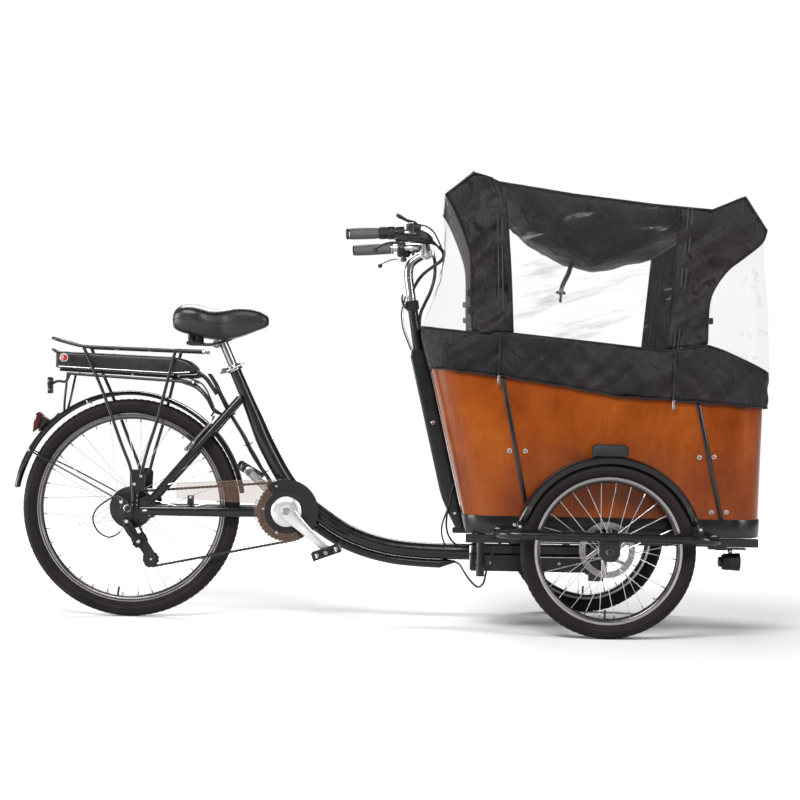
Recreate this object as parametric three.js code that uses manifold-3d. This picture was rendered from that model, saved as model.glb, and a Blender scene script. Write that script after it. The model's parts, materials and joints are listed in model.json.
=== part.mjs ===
// An electric three-wheel cargo bicycle: one driven rear wheel, and a steered front module that
// carries a plywood box between two wheels.
// Millimetres, +X forwards, +Y to the rider's left, +Z up, ground at z = 0.
// Sub-parts are laid out from the rear axle at x = 0; the whole bicycle is centred at the end.
import * as THREE from 'three';
import { mergeVertices } from 'three/addons/utils/BufferGeometryUtils.js';
import Module from 'manifold-3d';

const wasm = await Module();
wasm.setup();

// ---------------------------------------------------------------- driving dimensions
const GAP = 0.4; // air left between touching pieces
const REAR = { x: 0, radius: 330, rim: 285.5, tyreHalf: 24, spokes: 18 };
const WHEELBASE = 1413;
const FRONT = { x: WHEELBASE, radius: 250, rim: 210, tyreHalf: 23, spokes: 14 };
const HALF_TRACK = 370; // middle plane of the bicycle to a front wheel's middle plane
const BAR_Y = 430; // outer side bars
const DROPOUT_Y = 67.8; // inner face of the rear dropouts

const BB = { x: 475, z: 328, shellRadius: 21 }; // bottom bracket
const CRANK_LENGTH = 170;
const CRANK_ANGLE = -42; // degrees, right arm from level
const PITCH = 12.7; // chain
const CHAINRING_TEETH = 44;
const COG_TEETH = [28, 24, 22, 20, 18, 16, 14]; // innermost first
const ACTIVE_COG = 1;
const PULLEY_TEETH = 11;
const COG_SPACING = 4.66;
const FIRST_COG_Y = -34;
const CHAINRING_Y = -48;
const CHAIN_HALF_WIDTH = 2.5;
const CHAIN_HALF_HEIGHT = 4;
const CHAIN_CLEARANCE = 5.4; // chain pitch line to the tips of the teeth under it

const SEAT_LEAN = 24; // degrees the seat tube leans back from upright
const SEAT_TOP = [302, 0, 764];
const POST_RAISED = 86; // saddle clamp above the top of the seat tube

const BOX = {
  halfWidth: 310, wall: 12, corner: 75,
  floorZ: 338, rearBottom: 1003, frontBottom: 1858,
  rearLean: 0.235, frontLean: -0.025, // forward travel per millimetre lost in height
  rimRearZ: 836, rimFrontZ: 746,
};
const COLUMN_GAP = 3; // column to the box's rear wall
const KINGPIN = { x: WHEELBASE, radius: 15 };

// ---------------------------------------------------------------- geometry helpers
const vec = ([x, y, z]) => new THREE.Vector3(x, y, z);
const radians = THREE.MathUtils.degToRad;
const pitchRadius = (teeth) => PITCH / (2 * Math.sin(Math.PI / teeth));

// Keeps positions only, merges shared corners, drops empty triangles and turns faces outwards.
function weld(geometry) {
  const bare = new THREE.BufferGeometry();
  bare.setAttribute('position', geometry.getAttribute('position').clone());
  if (geometry.index) bare.setIndex(geometry.index.clone());
  const merged = mergeVertices(bare, 1e-3);
  const position = merged.getAttribute('position');
  const index = [];
  let volume = 0;
  const [a, b, c] = [new THREE.Vector3(), new THREE.Vector3(), new THREE.Vector3()];
  for (let i = 0; i < merged.index.count; i += 3) {
    const corners = [0, 1, 2].map((k) => merged.index.getX(i + k));
    if (new Set(corners).size < 3) continue;
    index.push(...corners);
    a.fromBufferAttribute(position, corners[0]);
    b.fromBufferAttribute(position, corners[1]);
    c.fromBufferAttribute(position, corners[2]);
    volume += a.dot(b.cross(c));
  }
  if (volume < 0) index.reverse();
  merged.setIndex(index);
  return merged;
}

function toManifold(geometry) {
  const welded = weld(geometry);
  const vertProperties = new Float32Array(welded.getAttribute('position').array);
  const triVerts = new Uint32Array(welded.index.array);
  return new wasm.Manifold(new wasm.Mesh({ numProp: 3, vertProperties, triVerts }));
}

function toGeometry(manifold) {
  const mesh = manifold.getMesh();
  const geometry = new THREE.BufferGeometry();
  geometry.setAttribute('position', new THREE.BufferAttribute(new Float32Array(mesh.vertProperties), 3));
  geometry.setIndex(new THREE.BufferAttribute(new Uint32Array(mesh.triVerts), 1));
  return geometry;
}

const combine = (method) => (first, ...others) => toGeometry(
  others.reduce((solid, other) => solid[method](toManifold(other)), toManifold(first)),
);
const join = combine('add');
const cut = combine('subtract');
const common = combine('intersect');

function block([x0, x1], [y0, y1], [z0, z1]) {
  const geometry = new THREE.BoxGeometry(x1 - x0, y1 - y0, z1 - z0);
  return geometry.translate((x0 + x1) / 2, (y0 + y1) / 2, (z0 + z1) / 2);
}

// A straight bar between two points, round or faceted by its number of sides.
function rod(from, to, radius, sides = 10, endRadius = radius) {
  const axis = vec(to).sub(vec(from));
  const geometry = new THREE.CylinderGeometry(endRadius, radius, axis.length(), sides);
  const turn = new THREE.Quaternion().setFromUnitVectors(new THREE.Vector3(0, 1, 0), axis.clone().normalize());
  geometry.applyQuaternion(turn);
  const middle = vec(from).addScaledVector(axis, 0.5);
  return geometry.translate(middle.x, middle.y, middle.z);
}

const disc = (x, z, radius, y0, y1, sides = 24) => rod([x, y0, z], [x, y1, z], radius, sides);

// A path that an extrusion follows from point to point, with no resampling.
class Route extends THREE.Curve {
  constructor(points) {
    super();
    this.points = points;
  }

  getPointAt(u, target = new THREE.Vector3()) {
    return target.copy(this.points[Math.round(u * (this.points.length - 1))]);
  }

  getTangentAt(u, target = new THREE.Vector3()) {
    const here = Math.round(u * (this.points.length - 1));
    const before = this.points[Math.max(here - 1, 0)];
    const after = this.points[Math.min(here + 1, this.points.length - 1)];
    return target.subVectors(after, before).normalize();
  }
}

// Replaces each inner corner of a polyline with a short curve.
function rounded(corners, bend, steps = 3) {
  const points = [vec(corners[0])];
  for (let i = 1; i < corners.length - 1; i += 1) {
    const here = vec(corners[i]);
    const back = vec(corners[i - 1]).sub(here);
    const ahead = vec(corners[i + 1]).sub(here);
    const reach = Math.min(bend, back.length() * 0.45, ahead.length() * 0.45);
    const curve = new THREE.QuadraticBezierCurve3(
      here.clone().addScaledVector(back.normalize(), reach),
      here,
      here.clone().addScaledVector(ahead.normalize(), reach),
    );
    points.push(...curve.getPoints(steps));
  }
  points.push(vec(corners.at(-1)));
  return points;
}

function sweep(section, points) {
  const shape = new THREE.Shape(section.map(([x, y]) => new THREE.Vector2(x, y)));
  return new THREE.ExtrudeGeometry(shape, { steps: points.length - 1, extrudePath: new Route(points) });
}

function circle(radius, sides) {
  return Array.from({ length: sides }, (_, i) => {
    const angle = (2 * Math.PI * (i + 0.5)) / sides;
    return [radius * Math.cos(angle), radius * Math.sin(angle)];
  });
}

const tube = (corners, radius, { sides = 8, bend = 60, steps = 3 } = {}) => sweep(
  circle(radius, sides), rounded(corners, bend, steps),
);

// A tube whose width and height change along its path; stations are [x, y, z, halfWidth, halfHeight].
function shapedTube(stations, sides = 12) {
  const centres = stations.map((station) => vec(station));
  const route = new Route(centres);
  const last = stations.length - 1;
  const geometry = new THREE.CylinderGeometry(1, 1, last, sides, last);
  const position = geometry.getAttribute('position');
  const across = new THREE.Vector3(0, 1, 0);
  for (let i = 0; i < position.count; i += 1) {
    const row = Math.round(position.getY(i) + last / 2);
    const tangent = route.getTangentAt(row / last);
    const side = across.clone().addScaledVector(tangent, -across.dot(tangent)).normalize();
    const up = tangent.clone().cross(side);
    const point = centres[row].clone();
    point.addScaledVector(side, position.getX(i) * stations[row][3]);
    point.addScaledVector(up, position.getZ(i) * stations[row][4]);
    position.setXYZ(i, point.x, point.y, point.z);
  }
  return geometry;
}

// A flat plate whose outline is given in x and z, between two values of y.
function plate(outline, y0, y1, hole) {
  const shape = new THREE.Shape(outline.map(([x, z]) => new THREE.Vector2(x, z)));
  if (hole) shape.holes.push(new THREE.Path(hole.map(([x, z]) => new THREE.Vector2(x, z))));
  const geometry = new THREE.ExtrudeGeometry(shape, { depth: y1 - y0, bevelEnabled: false });
  return geometry.rotateX(Math.PI / 2).translate(0, y1, 0);
}

// A ring about a wheel's axle: a closed [radius, y] outline, turned in flats that face the ground.
function ring(outline, segments) {
  const flat = 1 / Math.cos(Math.PI / segments);
  const points = [...outline, outline[0]].map(([r, y]) => new THREE.Vector2(r * flat, y));
  const geometry = new THREE.LatheGeometry(points, segments);
  return geometry.rotateY(Math.PI / segments);
}

const polar = (cx, cz, radius, degrees) => [
  cx + radius * Math.cos(radians(degrees)), cz + radius * Math.sin(radians(degrees)),
];

function arc(cx, cz, radius, from, to, steps) {
  return Array.from({ length: steps + 1 }, (_, i) => polar(cx, cz, radius, from + ((to - from) * i) / steps));
}

// ---------------------------------------------------------------- finishes and assembly
const finish = (color, roughness, metalness = 0) => (
  new THREE.MeshStandardMaterial({ color, roughness, metalness })
);
const BLACK_PAINT = finish(0x1d1c1d, 0.35, 0.3);
const SILVER = finish(0xc4c3c6, 0.3, 0.9);
const CHROME = finish(0xd8d8dc, 0.12, 1);
const STEEL = finish(0x8d8a86, 0.35, 0.9);
const TYRE_RUBBER = finish(0x1f1e1e, 0.85);
const BLACK_PLASTIC = finish(0x19191a, 0.5);
const SMOKY_PLASTIC = finish(0x6b625c, 0.2);
const RED_PLASTIC = finish(0xa8171b, 0.25);
const LEATHERETTE = finish(0x262224, 0.5);
const PLYWOOD = finish(0xb4530f, 0.25);
const FABRIC = finish(0x2c282a, 0.9);

const bicycle = new THREE.Group();
function add(name, geometry, material) {
  const mesh = new THREE.Mesh(weld(geometry), material);
  mesh.name = name;
  bicycle.add(mesh);
}

// ---------------------------------------------------------------- rear frame
const seatAxis = [Math.sin(radians(SEAT_LEAN)), 0, -Math.cos(radians(SEAT_LEAN))];
const alongSeat = (distance, y = 0) => [
  SEAT_TOP[0] + seatAxis[0] * distance, y, SEAT_TOP[2] + seatAxis[2] * distance,
];
const POST_RADIUS = 13.6;

// One curved tube: seat tube, sweep over the bottom bracket, then level under the load box.
const MAIN_TUBE = [
  [...alongSeat(0), 17.5, 17.5],
  [...alongSeat(115), 19, 19],
  [...alongSeat(175), 22.5, 22],
  [398, 0, 545, 25, 24.5],
  [451, 0, 447, 25.5, 24.5],
  [476, 0, 411, 25.5, 24.5],
  [515, 0, 364, 25.5, 24.5],
  [571, 0, 321, 25.5, 24.5],
  [637, 0, 277, 25.5, 24.5],
  [700, 0, 248.5, 25.5, 24.5],
  [762, 0, 231, 25.5, 24.5],
  [824, 0, 220.5, 25.5, 24.5],
  [918, 0, 214.5, 25.5, 24.5],
  [1030, 0, 213, 25.5, 24.5],
];

function mainTube() {
  const shell = disc(BB.x, BB.z, BB.shellRadius, -34, 34, 16);
  const gusset = rod([BB.x, 0, BB.z], [508, 0, 370], 17, 10);
  const bore = rod(alongSeat(-5), alongSeat(170), POST_RADIUS + 0.9, 16);
  const spindleBore = disc(BB.x, BB.z, 10.5, -40, 40, 12);
  return cut(join(shapedTube(MAIN_TUBE), shell, gusset), bore, spindleBore);
}

function lowerTube() {
  const below = MAIN_TUBE.slice(7, 13);
  const path = below.map(([x, , z], i) => {
    const [x0, , z0] = MAIN_TUBE[i + 6];
    const [x1, , z1] = MAIN_TUBE[i + 8];
    const length = Math.hypot(x1 - x0, z1 - z0);
    const drop = 24.5 + 13.5 + GAP;
    return [x + ((z1 - z0) / length) * drop, 0, z - ((x1 - x0) / length) * drop, 14, 13];
  });
  path.push([985, 0, 182, 8, 5]);
  return shapedTube(path, 10);
}

function rearTriangle() {
  const parts = [];
  for (const side of [-1, 1]) {
    const y = (value) => value * side;
    const dropout = plate([[-22, 318], [-22, 344], [62, 372], [84, 350], [78, 305], [30, 300]],
      Math.min(y(DROPOUT_Y), y(DROPOUT_Y + 6)), Math.max(y(DROPOUT_Y), y(DROPOUT_Y + 6)));
    const chainStay = shapedTube([
      [38, y(76), 325, 8, 14], [280, y(54), 325, 10, 16], [350, y(37), 325, 9, 16],
      [400, y(29.5), 325, 9, 16], [460, y(24), 327, 9, 16],
    ], 10);
    const seatStay = shapedTube([
      [62, y(74), 352, 8, 9], [190, y(62), 502, 11.5, 11.5], [330, y(22), 671, 12, 12],
    ], 10);
    parts.push(dropout, chainStay, seatStay);
  }
  const stayBridge = rod([262, -44, 588], [262, 44, 588], 8, 8);
  const solid = join(...parts, stayBridge);
  const shellRoom = disc(BB.x, BB.z, BB.shellRadius + GAP, -60, 60, 16);
  const tubeRoom = shapedTube(MAIN_TUBE.map(([x, y, z, w, h]) => [x, y, z, w + GAP, h + GAP]));
  const axleSlots = disc(REAR.x, REAR.radius, 7, -90, 90, 12);
  return cut(solid, shellRoom, tubeRoom, axleSlots);
}

// Box-section nose behind the main tube, ending in the steering bearing housing.
const HEAD = { z0: 157, z1: 240, tubeRadius: 34 };
function steeringHead() {
  const beam = block([1030 + GAP, WHEELBASE], [-32, 32], [HEAD.z0, 238]);
  const housing = rod([WHEELBASE, 0, HEAD.z0 - 6], [WHEELBASE, 0, HEAD.z1], HEAD.tubeRadius, 20);
  const bore = rod([WHEELBASE, 0, 100], [WHEELBASE, 0, 300], KINGPIN.radius + 0.8, 16);
  return cut(join(beam, housing), bore);
}

// A curved mudguard strip over a wheel, with rolled edges.
function fender(cx, cz, radius, halfWidth, from, to, y, steps) {
  const section = [
    [-halfWidth, 10], [-halfWidth * 0.55, 0], [halfWidth * 0.55, 0], [halfWidth, 10],
    [halfWidth - 3, 11], [halfWidth * 0.5, 3], [-halfWidth * 0.5, 3], [3 - halfWidth, 11],
  ];
  const path = arc(cx, cz, radius, from, to, steps).map(([x, z]) => new THREE.Vector3(x, y, z));
  return sweep(section, path);
}

function rearFender() {
  const strip = fender(-8, 331, 354, 31, 171, 8, 0, 18);
  const [edgeX, edgeZ] = polar(-8, 331, 343.5, 151);
  const stays = [-1, 1].map((side) => tube(
    [[edgeX, 27 * side, edgeZ], [-200, 66 * side, 446], [-19, 83 * side, 352]], 2.5, { sides: 6, steps: 2 },
  ));
  const eyes = [-1, 1].map((side) => rod([-19, 74.3 * side, 350], [-19, 87 * side, 350], 6, 8));
  return join(strip, ...stays, ...eyes);
}

// Wire carrier: deck loop, battery shelf loop, two pairs of legs and tail posts.
const RACK_Y = 68;
function luggageRack() {
  const wire = (corners, radius = 5, steps = 1) => tube(corners, radius, { sides: 6, bend: 24, steps });
  const parts = [
    wire([[215, -30, 806], [212, -RACK_Y, 806], [-150, -RACK_Y, 815], [-238, -RACK_Y, 838], [-244, 0, 840],
      [-238, RACK_Y, 838], [-150, RACK_Y, 815], [212, RACK_Y, 806], [215, 30, 806]], 5, 2),
    rod([215, -31, 806], [215, 31, 806], 5, 6),
    rod([134, -RACK_Y, 808], [134, RACK_Y, 808], 4, 6),
    rod([-144, -RACK_Y, 815], [-144, RACK_Y, 815], 4, 6),
  ];
  for (const side of [-1, 1]) {
    const y = RACK_Y * side;
    parts.push(
      wire([[-190, y, 733], [190, y, 713]], 4),
      wire([[-144, y, 815], [-82, y + 6 * side, 682], [-21, y + 18 * side, 522], [14, y + 20 * side, 440],
        [18, y + 20 * side, 350]]),
      wire([[134, y, 808], [111, y + 2 * side, 713], [83, y + 10 * side, 593], [55, y + 18 * side, 500],
        [40, y + 20 * side, 430]]),
      wire([[-190, y, 735], [-202, 45 * side, 650], [-206, 26 * side, 624]], 4),
      block([10, 46], side > 0 ? [84, 92] : [-92, -84], [385, 440]),
      block([8, 28], side > 0 ? [84, 92] : [-92, -84], [322, 400]),
    );
  }
  parts.push(rod([190, -RACK_Y, 713], [190, RACK_Y, 713], 4, 6));
  parts.push(rod([-190, -RACK_Y, 733], [-190, RACK_Y, 733], 4, 6));
  return join(...parts);
}

// Battery: a flat-topped case with a rounded nose, slid in from behind along a rail.
const BATTERY = { tail: -231, nose: 196, half: 54, floor: 744 };
function batteryOutline(inset) {
  const { tail, nose } = BATTERY;
  return [
    [tail + inset, 750 + inset], [nose - 70, 735 + inset], [nose - 14, 738 + inset], [nose - inset, 748 + inset],
    [nose - 8 - inset, 764], [nose - 30, 780 - inset], [nose - 62, 788 - inset], [tail + 6, 800 - inset],
    [tail + inset, 792 - inset],
  ];
}

function battery() {
  const wide = plate(batteryOutline(3), -BATTERY.half, BATTERY.half);
  const core = plate(batteryOutline(0), 8 - BATTERY.half, BATTERY.half - 8);
  const keyHole = rod([BATTERY.tail + 26, -70, 781], [BATTERY.tail + 26, -46, 781], 9.5, 12);
  return cut(join(wide, core), keyHole);
}

const batteryLock = () => join(
  rod([BATTERY.tail + 26, -60, 781], [BATTERY.tail + 26, -47, 781], 8.5, 12),
  block([BATTERY.tail + 24.5, BATTERY.tail + 27.5], [-70, -59], [775, 787]),
);

const batteryRail = () => plate(
  [[-222, 741], [-222, 749.4], [130, 734.2], [196, 737.4], [206, 742], [206, 728], [130, 724]], -30, 30,
);

const tailLight = () => plate([[-303, 549], [-293, 612], [-284, 616], [-250, 590], [-262, 580]], -24, 24);

function seatClamp() {
  const collar = rod(alongSeat(-3), alongSeat(16), 24, 20);
  const room = rod(alongSeat(-10), alongSeat(30), 18.2, 20);
  const lug = rod([277, -7, 750], [277, 7, 750], 8, 10);
  return join(cut(collar, room), lug);
}

function seatClampLever() {
  const arm = plate([[264, 740], [272, 736], [340, 768], [337, 777], [330, 778]], -34, -27);
  const boss = rod([277, -40, 750], [277, -7.5 - GAP, 750], 6, 10);
  return join(arm, boss);
}

// ---------------------------------------------------------------- saddle
function seatPost() {
  const top = alongSeat(-POST_RAISED);
  const post = rod(top, alongSeat(105), POST_RADIUS, 16);
  const head = rod([top[0] - 16, -19, top[2] - 12], [top[0] - 16, 19, top[2] - 12], 12, 12);
  const rails = [-1, 1].map((side) => tube(
    [
      [168, 52 * side, 836], [205, 42 * side, 829], [250, 22 * side, 831],
      [320, 18 * side, 862], [352, 12 * side, 872],
    ],
    3.5, { sides: 6, bend: 20, steps: 2 },
  ));
  const rearPlate = block([163, 208], [-58, 58], [825, 836]);
  return join(post, head, ...rails, rearPlate);
}

// Cushion sections from tail to nose: [x, half width, top, bottom].
const SADDLE = [
  [123, 58, 912, 890], [134, 92, 934, 882], [160, 108, 946, 877], [200, 106, 942, 868],
  [240, 82, 934, 862], [280, 50, 935, 868], [320, 34, 939, 876], [360, 27, 936, 884],
  [392, 19, 922, 892], [407, 9, 906, 899],
];

function saddle() {
  const sides = 14;
  const last = SADDLE.length - 1;
  const geometry = new THREE.CylinderGeometry(1, 1, last, sides, last);
  const position = geometry.getAttribute('position');
  for (let i = 0; i < position.count; i += 1) {
    const [x, half, top, bottom] = SADDLE[Math.round(position.getY(i) + last / 2)];
    const middle = (top + bottom) / 2;
    position.setXYZ(i, x, position.getX(i) * half, middle + (position.getZ(i) * (top - bottom)) / 2);
  }
  return geometry;
}

// ---------------------------------------------------------------- wheels
function tyreRing({ radius, rim, tyreHalf }) {
  const inner = rim + GAP;
  return ring([
    [inner, -tyreHalf * 0.5], [inner + 14, -tyreHalf], [radius - 12, -tyreHalf * 0.95], [radius, -tyreHalf * 0.35],
    [radius, tyreHalf * 0.35], [radius - 12, tyreHalf * 0.95], [inner + 14, tyreHalf], [inner, tyreHalf * 0.5],
  ], 32);
}

const rimRing = ({ rim }) => ring([[rim, -13], [rim - 12, -13], [rim - 17, 0], [rim - 12, 13], [rim, 13]], 32);

// Spokes run from two flanges to the rim, alternating sides and leaning with the lacing.
// Every second spoke of the 36 and 28 real ones is modelled.
function spokes({ rim, spokes: count }, flangeRadius, flangeY) {
  return Array.from({ length: count }, (_, i) => {
    const y = flangeY[i % 2];
    const lean = i % 4 < 2 ? 14 : -14;
    const angle = (360 * i) / count;
    const [hubX, hubZ] = polar(0, 0, flangeRadius, angle + lean);
    const [rimX, rimZ] = polar(0, 0, rim - 14, angle);
    return rod([hubX, y, hubZ], [rimX, Math.sign(y) * 3, rimZ], 1.4, 3);
  });
}

function rearWheel() {
  const motor = ring([[15, -29], [34, -29], [64, -24], [64, 24], [46, 33], [15, 33]], 20);
  return join(rimRing(REAR), motor, ...spokes(REAR, 60, [-22, 22]));
}

function frontWheel(side) {
  const hub = ring([[8.5, -34], [22, -34], [22, -22], [15, -18], [15, 20], [26, 24], [26, 34], [8.5, 34]], 12);
  const rotor = ring([[18, -30], [80, -30], [80, -28], [18, -28]], 24);
  const solid = join(rimRing(FRONT), hub, rotor, ...spokes(FRONT, 20, [-24, 28]));
  return side > 0 ? solid : solid.rotateZ(Math.PI);
}

function rearAxle() {
  const axle = rod([0, -92, 0], [0, 92, 0], 6, 12);
  const nuts = [-1, 1].map((side) => rod([0, 74.2 * side, 0], [0, 83.5 * side, 0], 12, 6));
  return join(axle, ...nuts);
}

// ---------------------------------------------------------------- drivetrain
const COG_RADIUS = pitchRadius(COG_TEETH[ACTIVE_COG]);
const RING_RADIUS = pitchRadius(CHAINRING_TEETH);
const PULLEY_RADIUS = pitchRadius(PULLEY_TEETH);
function freewheel() {
  const cogs = COG_TEETH.map((teeth, i) => {
    const y = FIRST_COG_Y - i * COG_SPACING;
    return disc(0, 0, pitchRadius(teeth) - CHAIN_CLEARANCE, y - 0.8, y + 0.8, 16);
  });
  const body = disc(0, 0, 22, FIRST_COG_Y - 6 * COG_SPACING - 2, FIRST_COG_Y + 0.6, 12);
  const bore = disc(0, 0, 8, -80, 0, 12);
  return cut(join(body, ...cogs), bore);
}

function chainring() {
  const tips = RING_RADIUS - CHAIN_CLEARANCE;
  const outline = Array.from({ length: 2 * CHAINRING_TEETH }, (_, i) => (
    polar(0, 0, i % 2 ? tips - 4 : tips, (180 * i) / CHAINRING_TEETH)
  ));
  return plate(outline, CHAINRING_Y - 1.4, CHAINRING_Y + 1.4, circle(12, 12).reverse());
}

const chainringDisc = () => cut(
  disc(0, 0, 93, CHAINRING_Y - 7, CHAINRING_Y - 5, 36), disc(0, 0, 12, -80, 0, 12),
);

function crankArm(side) {
  const inner = side < 0 ? CHAINRING_Y - 15 : 66;
  const outer = inner + 13 * side;
  const [y0, y1] = [Math.min(inner, outer), Math.max(inner, outer)];
  const arm = plate([[-2, -14], [-2, 14], [CRANK_LENGTH, 11], [CRANK_LENGTH + 10, 7], [CRANK_LENGTH + 12, 0],
    [CRANK_LENGTH + 10, -7], [CRANK_LENGTH, -11]], y0, y1);
  const boss = side < 0 ? disc(0, 0, 46, inner - 4, CHAINRING_Y - 7 - GAP, 24) : disc(0, 0, 18, y0, y1, 16);
  const pedalHole = disc(CRANK_LENGTH, 0, 6.6, y0 - 5, y1 + 5, 12);
  const spindleHole = disc(0, 0, 8.6, -90, 0, 12);
  return side < 0 ? cut(join(arm, boss), pedalHole, spindleHole) : cut(join(arm, boss), pedalHole);
}

function pedal(side) {
  const start = side < 0 ? CHAINRING_Y - 29.5 : 80.5;
  const body = side < 0 ? [start - 92, start] : [start, start + 92];
  const frame = cut(block([-44, 44], body, [-13, 13]), block([-34, 34], [body[0] + 12, body[1] - 12], [-20, 20]));
  const core = rod([0, body[0] + 2, 0], [0, body[1] - 2, 0], 13, 12);
  const pin = rod([0, start + 2 * side, 0], [0, start - 15 * side, 0], 5.2, 12);
  return join(frame, core, pin);
}

const crankAngle = (side) => (side < 0 ? CRANK_ANGLE : CRANK_ANGLE + 180);
function atCrank(geometry, side) {
  return geometry.rotateY(-radians(crankAngle(side))).translate(BB.x, 0, BB.z);
}

function atPedal(geometry, side, tilt) {
  const [x, z] = polar(BB.x, BB.z, CRANK_LENGTH, crankAngle(side));
  return geometry.rotateY(-radians(tilt)).translate(x, 0, z);
}

const CAGE_TOP = [31, 232];
const CAGE_BOTTOM = [68, 177];
const CHAIN_Y = FIRST_COG_Y - ACTIVE_COG * COG_SPACING;

// The chain's closed path in x and z: over the chainring and cog, then through the pulleys.
function chainPath() {
  return [
    ...arc(BB.x, BB.z, RING_RADIUS, -82, 94, 12),
    ...arc(0, REAR.radius, COG_RADIUS, 94, 300, 10),
    ...arc(...CAGE_TOP, PULLEY_RADIUS, 62, -20, 4),
    ...arc(...CAGE_BOTTOM, PULLEY_RADIUS, 170, 278, 6),
  ];
}

function chain() {
  const path = chainPath().map(([x, z]) => new THREE.Vector2(x, z));
  const offset = (distance) => path.map((here, i) => {
    const before = path[(i + path.length - 1) % path.length];
    const after = path[(i + 1) % path.length];
    const along = after.clone().sub(before).normalize();
    return [here.x + along.y * distance, here.y - along.x * distance];
  });
  const band = plate(offset(CHAIN_HALF_HEIGHT), -CHAIN_HALF_WIDTH, CHAIN_HALF_WIDTH, offset(-CHAIN_HALF_HEIGHT));
  const drift = (CHAINRING_Y - CHAIN_Y) / BB.x;
  const slant = new THREE.Matrix4().makeShear(drift, 0, 0, 0, 0, 0);
  return band.applyMatrix4(slant).translate(0, CHAIN_Y, 0);
}

function pulley([x, z]) {
  const y = CHAIN_Y + (x * (CHAINRING_Y - CHAIN_Y)) / BB.x;
  return cut(disc(x, z, PULLEY_RADIUS - CHAIN_CLEARANCE, y - 2, y + 2, PULLEY_TEETH), disc(x, z, 4, -80, 0, 8));
}

function derailleurCage() {
  const outline = [[14, 240], [28, 250], [48, 240], [84, 182], [80, 160], [58, 150], [48, 160], [52, 182]];
  const outer = plate(outline, -48.5, -46.5);
  const inner = plate(outline, -32.5, -30.5);
  const pins = [CAGE_TOP, CAGE_BOTTOM].map(([x, z]) => rod([x, -47.5, z], [x, -31.5, z], 3.2, 10));
  return join(outer, inner, ...pins);
}

function derailleurBody() {
  const outside = -DROPOUT_Y - 6 - GAP;
  const hanger = plate([[-16, 330], [16, 330], [8, 292], [-4, 284], [-14, 292]], outside - 5, outside);
  const knuckle = rod([-2, outside - 14, 292], [-2, outside, 292], 11, 12);
  const link = shapedTube([[-2, -82, 290, 7, 11], [12, -74, 262, 7, 11], [26, -64, 238, 7, 10]], 8);
  const pivot = rod([CAGE_TOP[0], -66, CAGE_TOP[1]], [CAGE_TOP[0], -48.5 - GAP, CAGE_TOP[1]], 11, 12);
  return cut(join(hanger, knuckle, link, pivot), disc(0, REAR.radius, 14, -90, 0, 12));
}

// Hockey-stick cover outboard of the chain, open round the crank.
function chainGuard() {
  const outline = [
    [142, 364], [378, 352], ...arc(BB.x, BB.z, 66, 165, -15, 10), ...arc(BB.x, BB.z, 97, -15, 98, 9), [142, 408],
  ];
  const face = plate(outline, -60.6, -58.6);
  const lip = plate([[142, 405], [462, 421], [462, 424], [142, 408]], -59, -36);
  const bracket = block([176, 196], [-60, -36], [342.5, 372]);
  return join(face, lip, bracket);
}

// Rim brake arms on the seat stays, one each side of the rear wheel.
function brakeArm(side) {
  const ordered = (a, b) => (side > 0 ? [a, b] : [-b, -a]);
  const arm = plate([[164, 513], [174, 505], [241, 586], [233, 592]], ...ordered(32, 40));
  const pad = plate([[164, 549], [208, 508], [213, 514], [169, 555]], ...ordered(15.2, 22));
  const neck = plate([[182, 526], [190, 524], [196, 531], [188, 538]], ...ordered(20, 34));
  return join(arm, pad, neck);
}

function rearCables() {
  return tube([
    [232, 0, 738], [262, 0, 690], [290, 0, 634], [342, 0, 545], [388, 0, 470], [418, 0, 420], [424, 0, 396],
  ], 6, { sides: 8, bend: 40, steps: 2 });
}

// ---------------------------------------------------------------- front module
function steeringSubframe() {
  const parts = [
    block([1376, 1450], [-300, 300], [262, 286]), // cross beam over the kingpin
    block([1010, 1850], [280, 305], [262, 286]), // left rail
    block([1010, 1850], [-305, -280], [262, 286]), // right rail
    block([1044, 1068], [-300, 300], [262, 286]), // rear cross member
    block([1700, 1724], [-300, 300], [262, 286]), // front cross member
  ];
  for (const side of [-1, 1]) {
    const ordered = (a, b) => (side > 0 ? [a, b] : [-b, -a]);
    parts.push(
      rod([1056, 200 * side, 157], [1056, 200 * side, 275], 12.5, 12), // steering stop post
      block([1385, 1441], ordered(305, 311), [225, 286]), // inner wheel plate
      block([1086, 1118], ordered(300, 330), [268, 276.5]), // side bar tabs
      block([1704, 1736], ordered(300, 330), [256, 264.5]),
    );
  }
  const axleBores = rod([WHEELBASE, -330, FRONT.radius], [WHEELBASE, 330, FRONT.radius], 7, 12);
  return cut(join(...parts, kingpin(), headlightBracket()), axleBores);
}

// Steering pivot, welded under the cross beam and held by a nut below the housing.
const kingpin = () => join(
  rod([WHEELBASE, 0, 138], [WHEELBASE, 0, 284], KINGPIN.radius, 16),
  rod([WHEELBASE, 0, 132], [WHEELBASE, 0, HEAD.z0 - 6 - GAP], 26, 6),
  rod([WHEELBASE, 0, HEAD.z1 + GAP], [WHEELBASE, 0, 262], 30, 20),
);

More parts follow.
